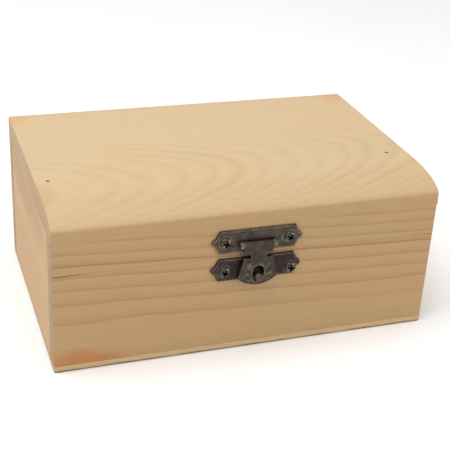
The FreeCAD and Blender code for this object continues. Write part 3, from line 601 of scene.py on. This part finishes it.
def make_top_board():
    """The lid's solid board: flat, with a quarter-ellipse falling to a crease."""
    low, high = box_mm("lid_top_board")
    nosing_depth, nosing_drop = 22.0, 6.0
    crease_z = high.z - nosing_drop
    section = []
    for y, z in ((low.y, low.z), (high.y, low.z)):
        section.append((Vector((y, z)), Vector((0, -1)), 0.15))
    for i in range(7):
        angle = math.radians(90 * i / 6)
        normal = Vector((math.cos(angle), math.sin(angle)))
        centre = Vector((high.y - 1.2, high.z - 1.2))
        section.append((centre + normal * 1.2, normal, 1.0))
    flat_steps = 24
    for i in range(1, flat_steps):
        y = high.y - 1.2 + (low.y + nosing_depth - high.y + 1.2) * i / flat_steps
        section.append((Vector((y, high.z)), Vector((0, 1)), 1.0))
    arc_steps = 22
    for i in range(arc_steps + 1):
        angle = math.radians(90 + 90 * i / arc_steps)
        point = Vector((low.y + nosing_depth + nosing_depth * math.cos(angle),
                        crease_z + nosing_drop * math.sin(angle)))
        normal = Vector((math.cos(angle) / nosing_depth, math.sin(angle) / nosing_drop)).normalized()
        section.append((point, normal, 1.0))
    section.append((Vector((low.y, (crease_z + low.z) / 2)), Vector((-1, 0)), 1.0))
    ease = 0.4
    stations = []
    for i in range(5):
        angle = math.radians(90 * i / 4)
        stations.append((low.x + ease * (1 - math.cos(angle)), ease * (1 - math.sin(angle))))
    count = 50
    inner = [(low.x + ease + (high.x - low.x - 2 * ease) * k / count, 0.0) for k in range(1, count)]
    stations += inner
    stations += [(low.x + high.x - x, inset) for x, inset in reversed(stations[:5])]
    rings = []
    for x, inset in stations:
        ring = []
        for point, normal, weight in section:
            y, z = point - normal * inset * weight
            ring.append(Vector((x, y, z)))
        rings.append(ring)
    bm = bmesh.new()
    add_rings(bm, rings)
    piece = finish_mesh("lid_top_board_wood", bm, pine_top, smooth_angle=28)
    return settle(piece, "lid", ["lid_top_board"])


make_top_board()


# ---------------------------------------------------------------- sheet metal


def add_shell(bm, front, back):
    """A closed sheet between two grids of points, equal in rows and columns."""
    grids = [[[bm.verts.new(Vector(p) * MM) for p in row] for row in grid] for grid in (front, back)]
    rows, columns = len(front), len(front[0])
    for grid in grids:
        for i in range(rows - 1):
            for j in range(columns - 1):
                bm.faces.new((grid[i][j], grid[i + 1][j], grid[i + 1][j + 1], grid[i][j + 1]))
    rim = [(i, 0) for i in range(rows)]
    rim += [(rows - 1, j) for j in range(1, columns)]
    rim += [(i, columns - 1) for i in reversed(range(rows - 1))]
    rim += [(0, j) for j in reversed(range(1, columns - 1))]
    outer, inner = grids
    for (i, j), (k, m) in zip(rim, rim[1:] + rim[:1]):
        bm.faces.new((outer[i][j], outer[k][m], inner[k][m], inner[i][j]))


def rise(value, start, end):
    """0 at start, climbing smoothly to 1 at end."""
    return 1 - fade(value, start, end)


def edge_fall(distance, radius):
    """How far a rounded edge has fallen at a distance in from it."""
    if distance >= radius:
        return 0.0
    inside = radius - max(distance, 0.0)
    return radius - math.sqrt(radius * radius - inside * inside)


def spread(half, steps, edges=(0.0, 0.05, 0.13, 0.25, 0.42)):
    """Places from -half to half, crowded at both ends to shape a rounded edge."""
    scale = min(1.0, half)
    ends = [half - e * scale for e in edges]
    inner = ends[-1]
    middle = [-inner + 2 * inner * k / steps for k in range(1, steps)]
    return [-e for e in ends] + middle + list(reversed(ends))


def box_cutter(low, high):
    """A plain closed block, only ever subtracted from a piece."""
    corners = [(low[0], low[1]), (high[0], low[1]), (high[0], high[1]), (low[0], high[1])]
    bm = bmesh.new()
    add_rings(bm, [[(x, y, z) for x, y in corners] for z in (low[2], high[2])])
    # its faces leave the cut walls in painted shade
    return finish_mesh("cutter", bm, cut_face_shade)


def round_box_cutter(low, high, radius, steps=4):
    """A block along Y with its four edges rounded, only ever subtracted."""
    middles = [(high[0] - radius, high[2] - radius, 0), (low[0] + radius, high[2] - radius, 90),
               (low[0] + radius, low[2] + radius, 180), (high[0] - radius, low[2] + radius, 270)]
    outline = []
    for x, z, start in middles:
        for i in range(steps + 1):
            angle = math.radians(start + 90 * i / steps)
            outline.append((x + radius * math.cos(angle), z + radius * math.sin(angle)))
    bm = bmesh.new()
    add_rings(bm, [[(x, y, z) for x, z in outline] for y in (low[1], high[1])])
    # its faces leave the cut walls in painted shade
    return finish_mesh("cutter", bm, cut_face_shade)


# ---------------------------------------------------------------- hasp plates

HASP_HEAD, HASP_DOME, HASP_SHANK = 2.25, 1.4, 1.1
PLATE_TIP = (PLATE_HIGH.x - PLATE_LOW.x) / 2
PLATE_HALF_HEIGHT = (PLATE_HIGH.z - PLATE_LOW.z) / 2
BEAD_RADIUS = 1.4
BEAD_X = PLATE_TIP - BEAD_RADIUS
POINT_HALF_HEIGHT = 1.6
POINT_X = BEAD_X - 1.5
RIM_WIDTH = 0.75
FIELD_SINK = 0.26


def plate_edge(x):
    """Half the height of a hasp plate: straight, then pointed, then a bead."""
    x = abs(x)
    if x <= POINT_X:
        return PLATE_HALF_HEIGHT
    part = (x - POINT_X) / (BEAD_X - POINT_X)
    slope = PLATE_HALF_HEIGHT + (POINT_HALF_HEIGHT - PLATE_HALF_HEIGHT) * part
    bead = math.sqrt(max(BEAD_RADIUS ** 2 - (x - BEAD_X) ** 2, 0.0))
    return max(slope, bead) if x < BEAD_X else bead


def plate_depth_in(x, z):
    """How far a point lies inside a hasp plate's outline."""
    x, z = abs(x), abs(z)
    across = Vector((PLATE_HALF_HEIGHT - POINT_HALF_HEIGHT, BEAD_X - POINT_X)).normalized()
    slant = across.x * (BEAD_X - x) + across.y * (POINT_HALF_HEIGHT - z)
    bead = BEAD_RADIUS - math.hypot(x - BEAD_X, z)
    return max(min(PLATE_HALF_HEIGHT - z, slant), bead)


def plate_sink(x, z, seats, beaded):
    """How far the plate's face lies behind its highest level.

    A rim runs round a sunk field, flat seats stand under the screws, and the
    edge on the beaded side (+1 up, -1 down) is a row of small beads.
    """
    inside = plate_depth_in(x, z)
    field = rise(inside, RIM_WIDTH, RIM_WIDTH + 0.3)
    for seat_x, seat_z in seats:
        field *= rise(math.hypot(x - seat_x, z - seat_z), 2.5, 3.2)
    sink = FIELD_SINK * field + edge_fall(inside, 0.32)
    from_edge = PLATE_HALF_HEIGHT - beaded * z
    if abs(x) < POINT_X and from_edge < RIM_WIDTH + 0.2:
        bead = abs(math.sin(math.pi * x / 1.2))
        sink += 0.3 * (1 - bead) * fade(from_edge, RIM_WIDTH - 0.15, RIM_WIDTH + 0.2)
    # a shallow scallop between the two screws, as if stamped
    wave = math.cos(2 * math.pi * x / 2.9) * rise(inside, 1.1, 1.6) * fade(inside, 1.6, 2.2)
    return max(sink + 0.06 * wave * field, 0.0)


def make_plate(node, name, body, material, middle_z, seats, beaded, cutters=()):
    columns = [-PLATE_TIP + 2 * PLATE_TIP * i / 176 for i in range(177)]
    columns += [side * (PLATE_TIP - d) for side in (-1, 1) for d in (0.02, 0.07, 0.13)]
    front, back = [], []
    for x in sorted(columns):
        half = max(plate_edge(x), 0.05)
        heights = spread(half, 26)
        front.append([(HASP_X + x, PLATE_FRONT + plate_sink(x, z, seats, beaded), middle_z + z)
                      for z in heights])
        back.append([(HASP_X + x, PLATE_HIGH.y, middle_z + z) for z in heights])
    bm = bmesh.new()
    add_shell(bm, front, back)
    plate = finish_mesh(name, bm, material)
    if cutters:
        cut_away(plate, cutters)
    return settle(plate, body, [node])


PIN_RADIUS = (box_mm("hasp_pin")[1].z - box_mm("hasp_pin")[0].z) / 2
TONGUE_LOW, TONGUE_HIGH = box_mm("hasp_tongue")
ROLL_HALF = 5.55
LUG_GAP = 0.15
LUG_WIDTH = 1.5
WINDOW_GAP = 0.2


def hasp_lug(side):
    """One of the two ears that hold the pin, with its edges eased."""
    start = ROLL_HALF + LUG_GAP
    ease = 0.22
    profile = [(PIN_RADIUS, start), (BARREL - ease, start)]
    profile += round_arc(ease, BARREL - ease, start + ease, -90, 0, 3)
    profile += round_arc(ease, BARREL - ease, start + LUG_WIDTH - ease, 0, 90, 3)
    profile += [(PIN_RADIUS, start + LUG_WIDTH)]
    bm = bmesh.new()
    lathe(bm, profile, Vector((HASP_X, PIN.y, PIN.z)), (side, 0, 0), hollow=True)
    return finish_mesh("lug", bm, upper_bronze)


def make_upper_plate():
    low, high = box_mm("hasp_upper_plate")
    middle = high.z - PLATE_HALF_HEIGHT
    reach = BARREL + WINDOW_GAP
    half = ROLL_HALF + LUG_GAP
    window = box_cutter((HASP_X - half, PLATE_FRONT - 1, PIN.z - reach),
                        (HASP_X + half, PLATE_HIGH.y + 1, PIN.z + reach))
    seats = screw_seats("hasp_upper_screws", HASP_HEAD, middle)
    plate = make_plate("hasp_upper_plate", "hasp_upper_plate_relief", "lid", upper_bronze,
                       middle, seats, 1, [window])
    cut_away(plate, [hasp_lug(side) for side in (-1, 1)], operation="UNION")


def make_lower_plate():
    middle = (PLATE_LOW.z + PLATE_HIGH.z) / 2
    seats = screw_seats("hasp_lower_screws", HASP_HEAD, middle)
    make_plate("hasp_lower_plate", "hasp_lower_plate_relief", "base", lower_bronze,
               middle, seats, -1)


# ---------------------------------------------------------------- screws, stud, pins and nails

HINGE_HEAD, HINGE_DOME, HINGE_SHANK = 1.7, 0.8, 0.8


def screw_spots(node, head):
    """Where the two screws of a group stand, left then right: (x, z)."""
    low, high = box_mm(node)
    return [(low.x + head, high.z - head), (high.x - head, low.z + head)]


def screw_seats(node, head, middle_z):
    return [(x - HASP_X, z - middle_z) for x, z in screw_spots(node, head)]


def arm_cutter(spot, way, length, width, dome, depth, spin):
    """One arm of a cross recess, narrowing as it goes down into a screw head."""
    turn = Matrix.Rotation(math.radians(spin), 3, "Y")
    rings = []
    for out, shrink, thin in ((dome + 0.3, 1.0, 1.0), (dome - depth, 0.6, 0.8)):
        a, b = length / 2 * shrink, width / 2 * thin
        ring = [(-a, -b), (a, -b), (a, b), (-a, b)]
        rings.append([spot + turn @ Vector((x, way * out, z)) for x, z in ring])
    bm = bmesh.new()
    add_rings(bm, rings)
    # the recess walls take this near-black material: painted shade
    return finish_mesh("arm", bm, cut_face_shade)


def make_screws(node, body, way, head, dome, shank, spins):
    """Two round head screws; way is the way their heads face along Y."""
    low, high = box_mm(node)
    seat_y = low.y + dome if way < 0 else high.y - dome
    length = (high.y - low.y) - dome
    bm = bmesh.new()
    spots = screw_spots(node, head)
    profile = [(0.0, -length), (shank * 0.35, -length + shank * 0.7)]
    turns = int((length - 2 * shank) / 0.7)
    for k in range(turns):
        foot = -length + 1.4 * shank + 0.7 * k
        profile += [(shank * 0.8, foot), (shank, foot + 0.35)]
    profile += [(shank * 0.8, -0.3), (shank * 0.8, 0.0), (head - 0.12, 0.0), (head, 0.12)]
    profile += [(head, 0.22)]
    for i in range(1, 9):
        angle = math.radians(90 * i / 8)
        profile.append((head * math.cos(angle) ** 0.9, 0.22 + (dome - 0.22) * math.sin(angle)))
    profile[-1] = (0.0, dome)
    for x, z in spots:
        lathe(bm, profile, Vector((x, seat_y, z)), (0, way, 0), segments=36)
    screws = finish_mesh(f"{node}_turned", bm, screw_bronze)
    cutters = [arm_cutter(Vector((x, seat_y, z)), way, head * 1.4, head * 0.4, dome,
                          dome * 0.78, spin + arm)
               for (x, z), spin in zip(spots, spins) for arm in (0, 90)]
    cut_away(screws, cutters)
    settle(screws, body, [node])


def make_stud():
    """A turned post: a collar, a neck and a round knob that has been rubbed bright."""
    low, high = box_mm("hasp_stud")
    radius = (high.x - low.x) / 2
    middle = Vector(((low.x + high.x) / 2, PLATE_FRONT, (low.z + high.z) / 2))
    reach = PLATE_FRONT - low.y
    knob = reach - radius
    profile = [(0.0, PLATE_FRONT - high.y), (1.0, PLATE_FRONT - high.y), (1.0, 0.0)]
    profile += [(radius - 0.1, 0.0), (radius, 0.1), (radius, 0.45), (radius - 0.35, 0.65)]
    profile += [(radius - 0.38, knob - 0.75), (radius - 0.12, knob - 0.3)]
    profile += round_arc(radius, 0.0, knob, 0, 90, 12)
    profile[-1] = (0.0, reach)
    bm = bmesh.new()
    lathe(bm, profile, middle, (0, -1, 0), segments=40)
    settle(finish_mesh("hasp_stud_turned", bm, stud_bronze), "base", ["hasp_stud"])


def make_pin(node, body, head, shank):
    """A pin along X between a node's ends; head is the radius of its round ends."""
    low, high = box_mm(node)
    middle = (low + high) / 2
    half = (high.x - low.x) / 2
    bm = bmesh.new()
    start = half - head
    left = [(0.0, -half)] + round_arc(head, 0.0, -start, -90, 0, 8)[1:]
    right = round_arc(head, 0.0, start, 0, 90, 8)[:-1] + [(0.0, half)]
    lathe(bm, left + [(shank, -start), (shank, start)] + right, middle, (1, 0, 0), segments=24)
    settle(finish_mesh(f"{node}_turned", bm, screw_bronze), body, [node])


NAIL_HEAD = 0.7
NAIL_SINK = 0.12


def nail_spots(node):
    low, high = box_mm(node)
    if node == "lid_nails":
        return [(low.x + NAIL_HEAD, high.y - NAIL_HEAD), (high.x - NAIL_HEAD, low.y + NAIL_HEAD)]
    return [(x, y) for x in (low.x + NAIL_HEAD, high.x - NAIL_HEAD)
            for y in (low.y + NAIL_HEAD, high.y - NAIL_HEAD)]


def nail_holes(node, way, surface):
    """Shallow dimples that the nails were punched into, to subtract from the wood."""
    holes = []
    for x, y in nail_spots(node):
        bm = bmesh.new()
        profile = [(0.0, -2.0), (NAIL_HEAD + 0.04, -2.0), (NAIL_HEAD + 0.05, -0.08),
                   (NAIL_HEAD + 0.1, 0.05), (NAIL_HEAD + 0.1, 0.3), (0.0, 0.3)]
        lathe(bm, profile, Vector((x, y, surface)), (0, 0, way), segments=20)
        holes.append(finish_mesh("nail_hole", bm, hole_brown))
    return holes


def make_nails(node, body, way):
    low, high = box_mm(node)
    surface = high.z if way > 0 else low.z
    length = high.z - low.z
    bm = bmesh.new()
    for x, y in nail_spots(node):
        profile = [(0.0, -length), (0.35, -length + 0.9), (0.45, -length + 1.2), (0.45, -0.6),
                   (NAIL_HEAD - 0.05, -NAIL_SINK - 0.3), (NAIL_HEAD, -NAIL_SINK - 0.08),
                   (NAIL_HEAD - 0.15, -NAIL_SINK), (0.0, -NAIL_SINK + 0.04)]
        lathe(bm, profile, Vector((x, y, surface)), (0, 0, way), segments=20)
    settle(finish_mesh(f"{node}_drawn", bm, brad_steel), body, [node])


# ---------------------------------------------------------------- rolled sheet: tongue and hinges

ROLL_END = 280


def rolled_rows(outer, inner, steps=26):
    """Pairs (outer point, inner point), as (y, z) from the pin, round to the front."""
    rows = []
    for i in range(steps):
        angle = math.radians(ROLL_END * (1 - i / steps))
        side, up = -math.cos(angle), math.sin(angle)
        rows.append(((outer * side, outer * up), (inner * side, inner * up)))
    return rows


# the tongue's outline, as drops from the pin and half widths
SHOULDER_DROP = 3.2
NECK_DROP = 5.0
NECK_HALF = 3.1
BILL_TOP_HALF = 5.6
BILL_HALF = (TONGUE_HIGH.x - TONGUE_LOW.x) / 2
BILL_DROP = 13.4
TIP_DROP = PIN.z - TONGUE_LOW.z
FOOT_RADIUS = (BILL_HALF ** 2 + (TIP_DROP - BILL_DROP) ** 2) / (2 * (TIP_DROP - BILL_DROP))
FOOT_CENTRE = TIP_DROP - FOOT_RADIUS
EYE_HALF = 2.05
EYE_TOP, EYE_FOOT = 8.1, 14.8
SHEET = 1.0
SWELL = PIN.y - BARREL - TONGUE_LOW.y


def tongue_half(drop):
    """Half the width of the tongue, before its neck is cut in."""
    if drop <= NECK_DROP:
        return ROLL_HALF + (BILL_TOP_HALF - ROLL_HALF) * max(drop, 0) / NECK_DROP
    return BILL_TOP_HALF + (BILL_HALF - BILL_TOP_HALF) * (drop - NECK_DROP) / (BILL_DROP - NECK_DROP)


def tongue_depth_in(x, drop):
    """How far a point of the tongue lies inside its outline."""
    x = abs(x)
    inside = min((tongue_half(min(drop, BILL_DROP)) - x) * 0.97,
                 FOOT_RADIUS - math.hypot(x, drop - FOOT_CENTRE))
    if x > NECK_HALF and drop < (SHOULDER_DROP + NECK_DROP) / 2:
        return min(inside, SHOULDER_DROP - drop)
    if x > NECK_HALF:
        return min(inside, drop - NECK_DROP)
    return inside


def tongue_height(x, drop):
    """How far the tongue's face stands out from its flat sheet: the bill's relief."""
    inside = tongue_depth_in(x, drop)
    fall = edge_fall(inside, 0.35)
    if drop < NECK_DROP:
        return -fall
    within = min(inside, drop - NECK_DROP - 0.3)
    dome = rise(within, 0.75, 2.1)
    eye_middle = (EYE_TOP + EYE_FOOT) / 2
    straight = (EYE_FOOT - EYE_TOP) / 2 - EYE_HALF
    along = max(abs(drop - eye_middle) - straight, 0.0)
    from_eye = math.hypot(x, along) - EYE_HALF
    collar = rise(from_eye, 0.0, 0.25) * fade(from_eye, 0.45, 0.95)
    angle = math.atan2(x, eye_middle + 2.2 - drop)
    rays = math.cos(11 * angle) * rise(from_eye, 0.75, 1.2) * fade(from_eye, 2.6, 3.6)
    rays *= rise(within, 0.7, 1.2) * fade(abs(angle), 1.9, 2.4)
    groove = rise(within, 0.4, 0.6) * fade(within, 0.7, 0.95)
    shape = 0.34 * dome + 0.22 * collar + 0.26 * rays * dome - 0.14 * groove
    return min(max(shape, -0.12), SWELL) - fall


def make_tongue():
    front, back = [], []
    bore = PIN_RADIUS + 0.05
    for (out, z_out), (inn, z_in) in rolled_rows(BARREL, bore):
        columns = spread(ROLL_HALF, 44)
        falls = [edge_fall(ROLL_HALF - abs(x), 0.2) for x in columns]
        front.append([(HASP_X + x, PIN.y + out * (1 - f / BARREL), PIN.z + z_out * (1 - f / BARREL))
                      for x, f in zip(columns, falls)])
        back.append([(HASP_X + x, PIN.y + inn, PIN.z + z_in) for x in columns])
    lower = 10.0
    drops = [lower * i / 46 for i in range(46)]
    for drop in drops:
        half = tongue_half(drop)
        inner = -(bore + (BARREL - SHEET - bore) * min(drop / 0.8, 1.0))
        columns = spread(half, 44)
        front.append([(HASP_X + x, PIN.y - BARREL - tongue_height(x, drop), PIN.z - drop)
                      for x in columns])
        back.append([(HASP_X + x, PIN.y + inner, PIN.z - drop) for x in columns])
    foot_edges = (0.42, 0.25, 0.13, 0.05, 0.0)
    last_mm = TIP_DROP - lower
    parts = [0.9 * k / 34 for k in range(35)] + [1 - e / last_mm for e in foot_edges]
    for part in parts:
        level = lower + (BILL_DROP - lower) * part
        half = tongue_half(level)
        places = []
        for x in spread(half, 44):
            foot = FOOT_CENTRE + math.sqrt(FOOT_RADIUS ** 2 - (x / half * BILL_HALF) ** 2)
            places.append((x, lower + (foot - lower) * part))
        front.append([(HASP_X + x, PIN.y - BARREL - tongue_height(x, d), PIN.z - d)
                      for x, d in places])
        back.append([(HASP_X + x, PIN.y - BARREL + SHEET, PIN.z - d) for x, d in places])
    bm = bmesh.new()
    add_shell(bm, front, back)
    piece = finish_mesh("hasp_tongue_stamped", bm, tongue_bronze)

    notches = []
    for side in (-1, 1):
        near, far = sorted((side * NECK_HALF, side * (BILL_TOP_HALF + 2)))
        notches.append(round_box_cutter(
            (HASP_X + near, PIN.y - BARREL - 1, PIN.z - NECK_DROP),
            (HASP_X + far, PIN.y + 0.2, PIN.z - SHOULDER_DROP), 0.45))
    cut_away(piece, notches)
    cut_away(piece, [eye_cutter()])
    return settle(piece, "tongue", ["hasp_tongue"])


def eye_cutter():
    """The slot that the stud comes through, with its front edge eased."""
    upper, lower = PIN.z - EYE_TOP - EYE_HALF, PIN.z - EYE_FOOT + EYE_HALF
    rings = []
    for y, grow in ((PIN.y + 0.5, 0.0), (PIN.y - BARREL - 0.2, 0.0),
                    (PIN.y - BARREL - 0.55, 0.14), (PIN.y - BARREL - 2, 0.6)):
        ring = []
        for start, centre in ((0, upper), (180, lower)):
            for i in range(17):
                angle = math.radians(start + 180 * i / 16)
                radius = EYE_HALF + grow
                ring.append((HASP_X + radius * math.cos(angle), y, centre + radius * math.sin(angle)))
        rings.append(ring)
    bm = bmesh.new()
    add_rings(bm, rings)
    # the slot's walls take this near-black material: painted shade
    return finish_mesh("eye", bm, cut_face_shade)


HINGE_PIN_HEAD, HINGE_PIN_RADIUS = 0.8, 0.6
LEAF_BORE = HINGE_PIN_RADIUS + 0.05
LEAF_THICKNESS = 0.8
KNUCKLE_GAP = 0.2
MIDDLE_KNUCKLE = 8.0
LEAF_CORNER = 1.2


def make_leaf(side, name, body, way):
    """One leaf of a butt hinge, rolled round the pin; way is -1 down, 1 up."""
    node = f"hinge_{side}_{name}_leaf"
    low, high = box_mm(node)
    pin = (box_mm(f"hinge_{side}_pin")[0] + box_mm(f"hinge_{side}_pin")[1]) / 2
    plain = box_mm("hinge_left_base_leaf")
    half = (plain[1].x - plain[0].x) / 2
    outer = high.y - pin.y
    wood, face = BACK_Y - pin.y, BACK_Y - pin.y + LEAF_THICKNESS
    far = pin.z - plain[0].z
    front, back = [], []
    for (out, z_out), (inn, z_in) in rolled_rows(outer, LEAF_BORE, 22):
        columns = spread(half, 30)
        front.append([(pin.x + x, pin.y + out, pin.z - way * z_out) for x in columns])
        back.append([(pin.x + x, pin.y + inn, pin.z - way * z_in) for x in columns])
    edges = (0.42, 0.25, 0.13, 0.05, 0.0)
    drops = [0.0, 0.5, 1.0, 1.4, 1.8] + [1.8 + (far - 2.3) * k / 14 for k in range(1, 15)]
    drops += [far - e for e in edges]
    for drop in drops:
        blend = min(drop / 1.2, 1.0)
        reach = half
        past = drop - (far - LEAF_CORNER)
        if past > 0:
            reach = half - LEAF_CORNER + math.sqrt(max(LEAF_CORNER ** 2 - past ** 2, 0.0))
        columns = spread(reach, 30)
        line = [(pin.x + x, pin.z + way * drop) for x in columns]
        front.append([(x, pin.y - outer + (wood + outer) * blend, z) for x, z in line])
        falls = [edge_fall(min(reach - abs(x), far - drop), 0.25) for x in columns]
        back.append([(x, pin.y - LEAF_BORE + (face + LEAF_BORE) * blend - fall, z)
                     for (x, z), fall in zip(line, falls)])
    bm = bmesh.new()
    add_shell(bm, front, back)
    piece = finish_mesh(f"{node}_rolled", bm, hinge_bronze)
    middle = MIDDLE_KNUCKLE / 2
    if name == "base":
        gaps = [(-middle - KNUCKLE_GAP, middle + KNUCKLE_GAP)]
    else:
        gaps = [(-half - 1, -middle), (middle, half + 1)]
    reach = outer + KNUCKLE_GAP
    cutters = []
    for start, end in gaps:
        top, foot = sorted((pin.z - way * 2 * outer, pin.z + way * reach))
        cutters.append(box_cutter((pin.x + start, pin.y - outer - 1, top),
                                  (pin.x + end, pin.y + outer + 1, foot)))
    cut_away(piece, cutters)
    settle(piece, body, [node])


make_upper_plate()
make_lower_plate()
make_tongue()
make_stud()
make_pin("hasp_pin", "lid", PIN_RADIUS, PIN_RADIUS)
make_screws("hasp_upper_screws", "lid", -1, HASP_HEAD, HASP_DOME, HASP_SHANK, (12, 33))
make_screws("hasp_lower_screws", "base", -1, HASP_HEAD, HASP_DOME, HASP_SHANK, (27, 8))
for side in ("left", "right"):
    make_leaf(side, "base", "base", -1)
    make_leaf(side, "lid", "lid", 1)
    make_pin(f"hinge_{side}_pin", "base", HINGE_PIN_HEAD, HINGE_PIN_RADIUS)
    make_screws(f"hinge_{side}_base_screws", "base", 1, HINGE_HEAD, HINGE_DOME, HINGE_SHANK,
                (15, 50))
    make_screws(f"hinge_{side}_lid_screws", "lid", 1, HINGE_HEAD, HINGE_DOME, HINGE_SHANK,
                (35, 70))
make_nails("lid_nails", "lid", 1)
make_nails("bottom_nails", "base", -1)
cut_away(bpy.data.objects["lid_top_board_wood"], nail_holes("lid_nails", 1, CASE_HIGH.z),
         smooth_angle=28)
cut_away(bpy.data.objects["bottom_panel_wood"], nail_holes("bottom_nails", -1, CASE_LOW.z))


# ---------------------------------------------------------------- stage, lights and camera


def make_floor():
    bm = bmesh.new()
    bmesh.ops.create_grid(bm, x_segments=8, y_segments=8, size=6.0)
    mesh = bpy.data.meshes.new("studio_floor")
    bm.to_mesh(mesh)
    bm.free()
    mesh.materials.append(floor_material())
    floor = bpy.data.objects.new("studio_floor", mesh)
    floor.location.z = -0.0002
    bpy.context.scene.collection.objects.link(floor)


def area_light(name, spot, aim, size, power, colour=(1, 1, 1)):
    lamp = bpy.data.lights.new(name, "AREA")
    lamp.shape = "DISK"
    lamp.size = size
    lamp.energy = power
    lamp.color = colour
    thing = bpy.data.objects.new(name, lamp)
    thing.location = spot
    thing.rotation_euler = (Vector(aim) - Vector(spot)).to_track_quat("-Z", "Y").to_euler()
    bpy.context.scene.collection.objects.link(thing)


def make_world(strength):
    world = bpy.data.worlds.new("studio")
    world.use_nodes = True
    sky = world.node_tree.nodes["Background"]
    sky.inputs["Color"].default_value = (1, 1, 1, 1)
    sky.inputs["Strength"].default_value = strength
    bpy.context.scene.world = world


def make_camera():
    """A camera turned round the origin and tipped, then slid so that it frames the box."""
    turn, tip, roll = math.radians(20.03), math.radians(27.17), math.radians(3.31)
    right, down, away = -7.06, 24.73, 446.17
    lens = 83.54
    world_to_view = (
        Matrix.Rotation(roll, 3, "Z")
        @ Matrix.Rotation(tip, 3, "X")
        @ Matrix(((1, 0, 0), (0, 0, -1), (0, 1, 0)))
        @ Matrix.Rotation(turn, 3, "Z")
    )
    view_to_world = world_to_view.transposed()
    eye = view_to_world @ Vector((-right, -down, -away)) * MM
    data = bpy.data.cameras.new("camera")
    data.lens = lens
    data.sensor_width = 36.0
    data.clip_start, data.clip_end = 0.01, 50.0
    camera = bpy.data.objects.new("camera", data)
    # a camera looks along its own -Z with +Y up, and a view has +Z ahead and +Y down
    axes = view_to_world @ Matrix(((1, 0, 0), (0, -1, 0), (0, 0, -1)))
    camera.matrix_world = Matrix.Translation(eye) @ axes.to_4x4()
    bpy.context.scene.collection.objects.link(camera)
    bpy.context.scene.camera = camera


make_floor()
make_world(0.66)
area_light("key", (-0.32, -0.08, 0.86), (0, 0, 0.03), 0.9, 6.2, (1.0, 0.99, 0.97))
area_light("fill", (0.75, -0.6, 0.35), (0.03, -0.04, 0.03), 0.5, 1.7)
make_camera()
bpy.context.scene.view_settings.view_transform = "Standard"
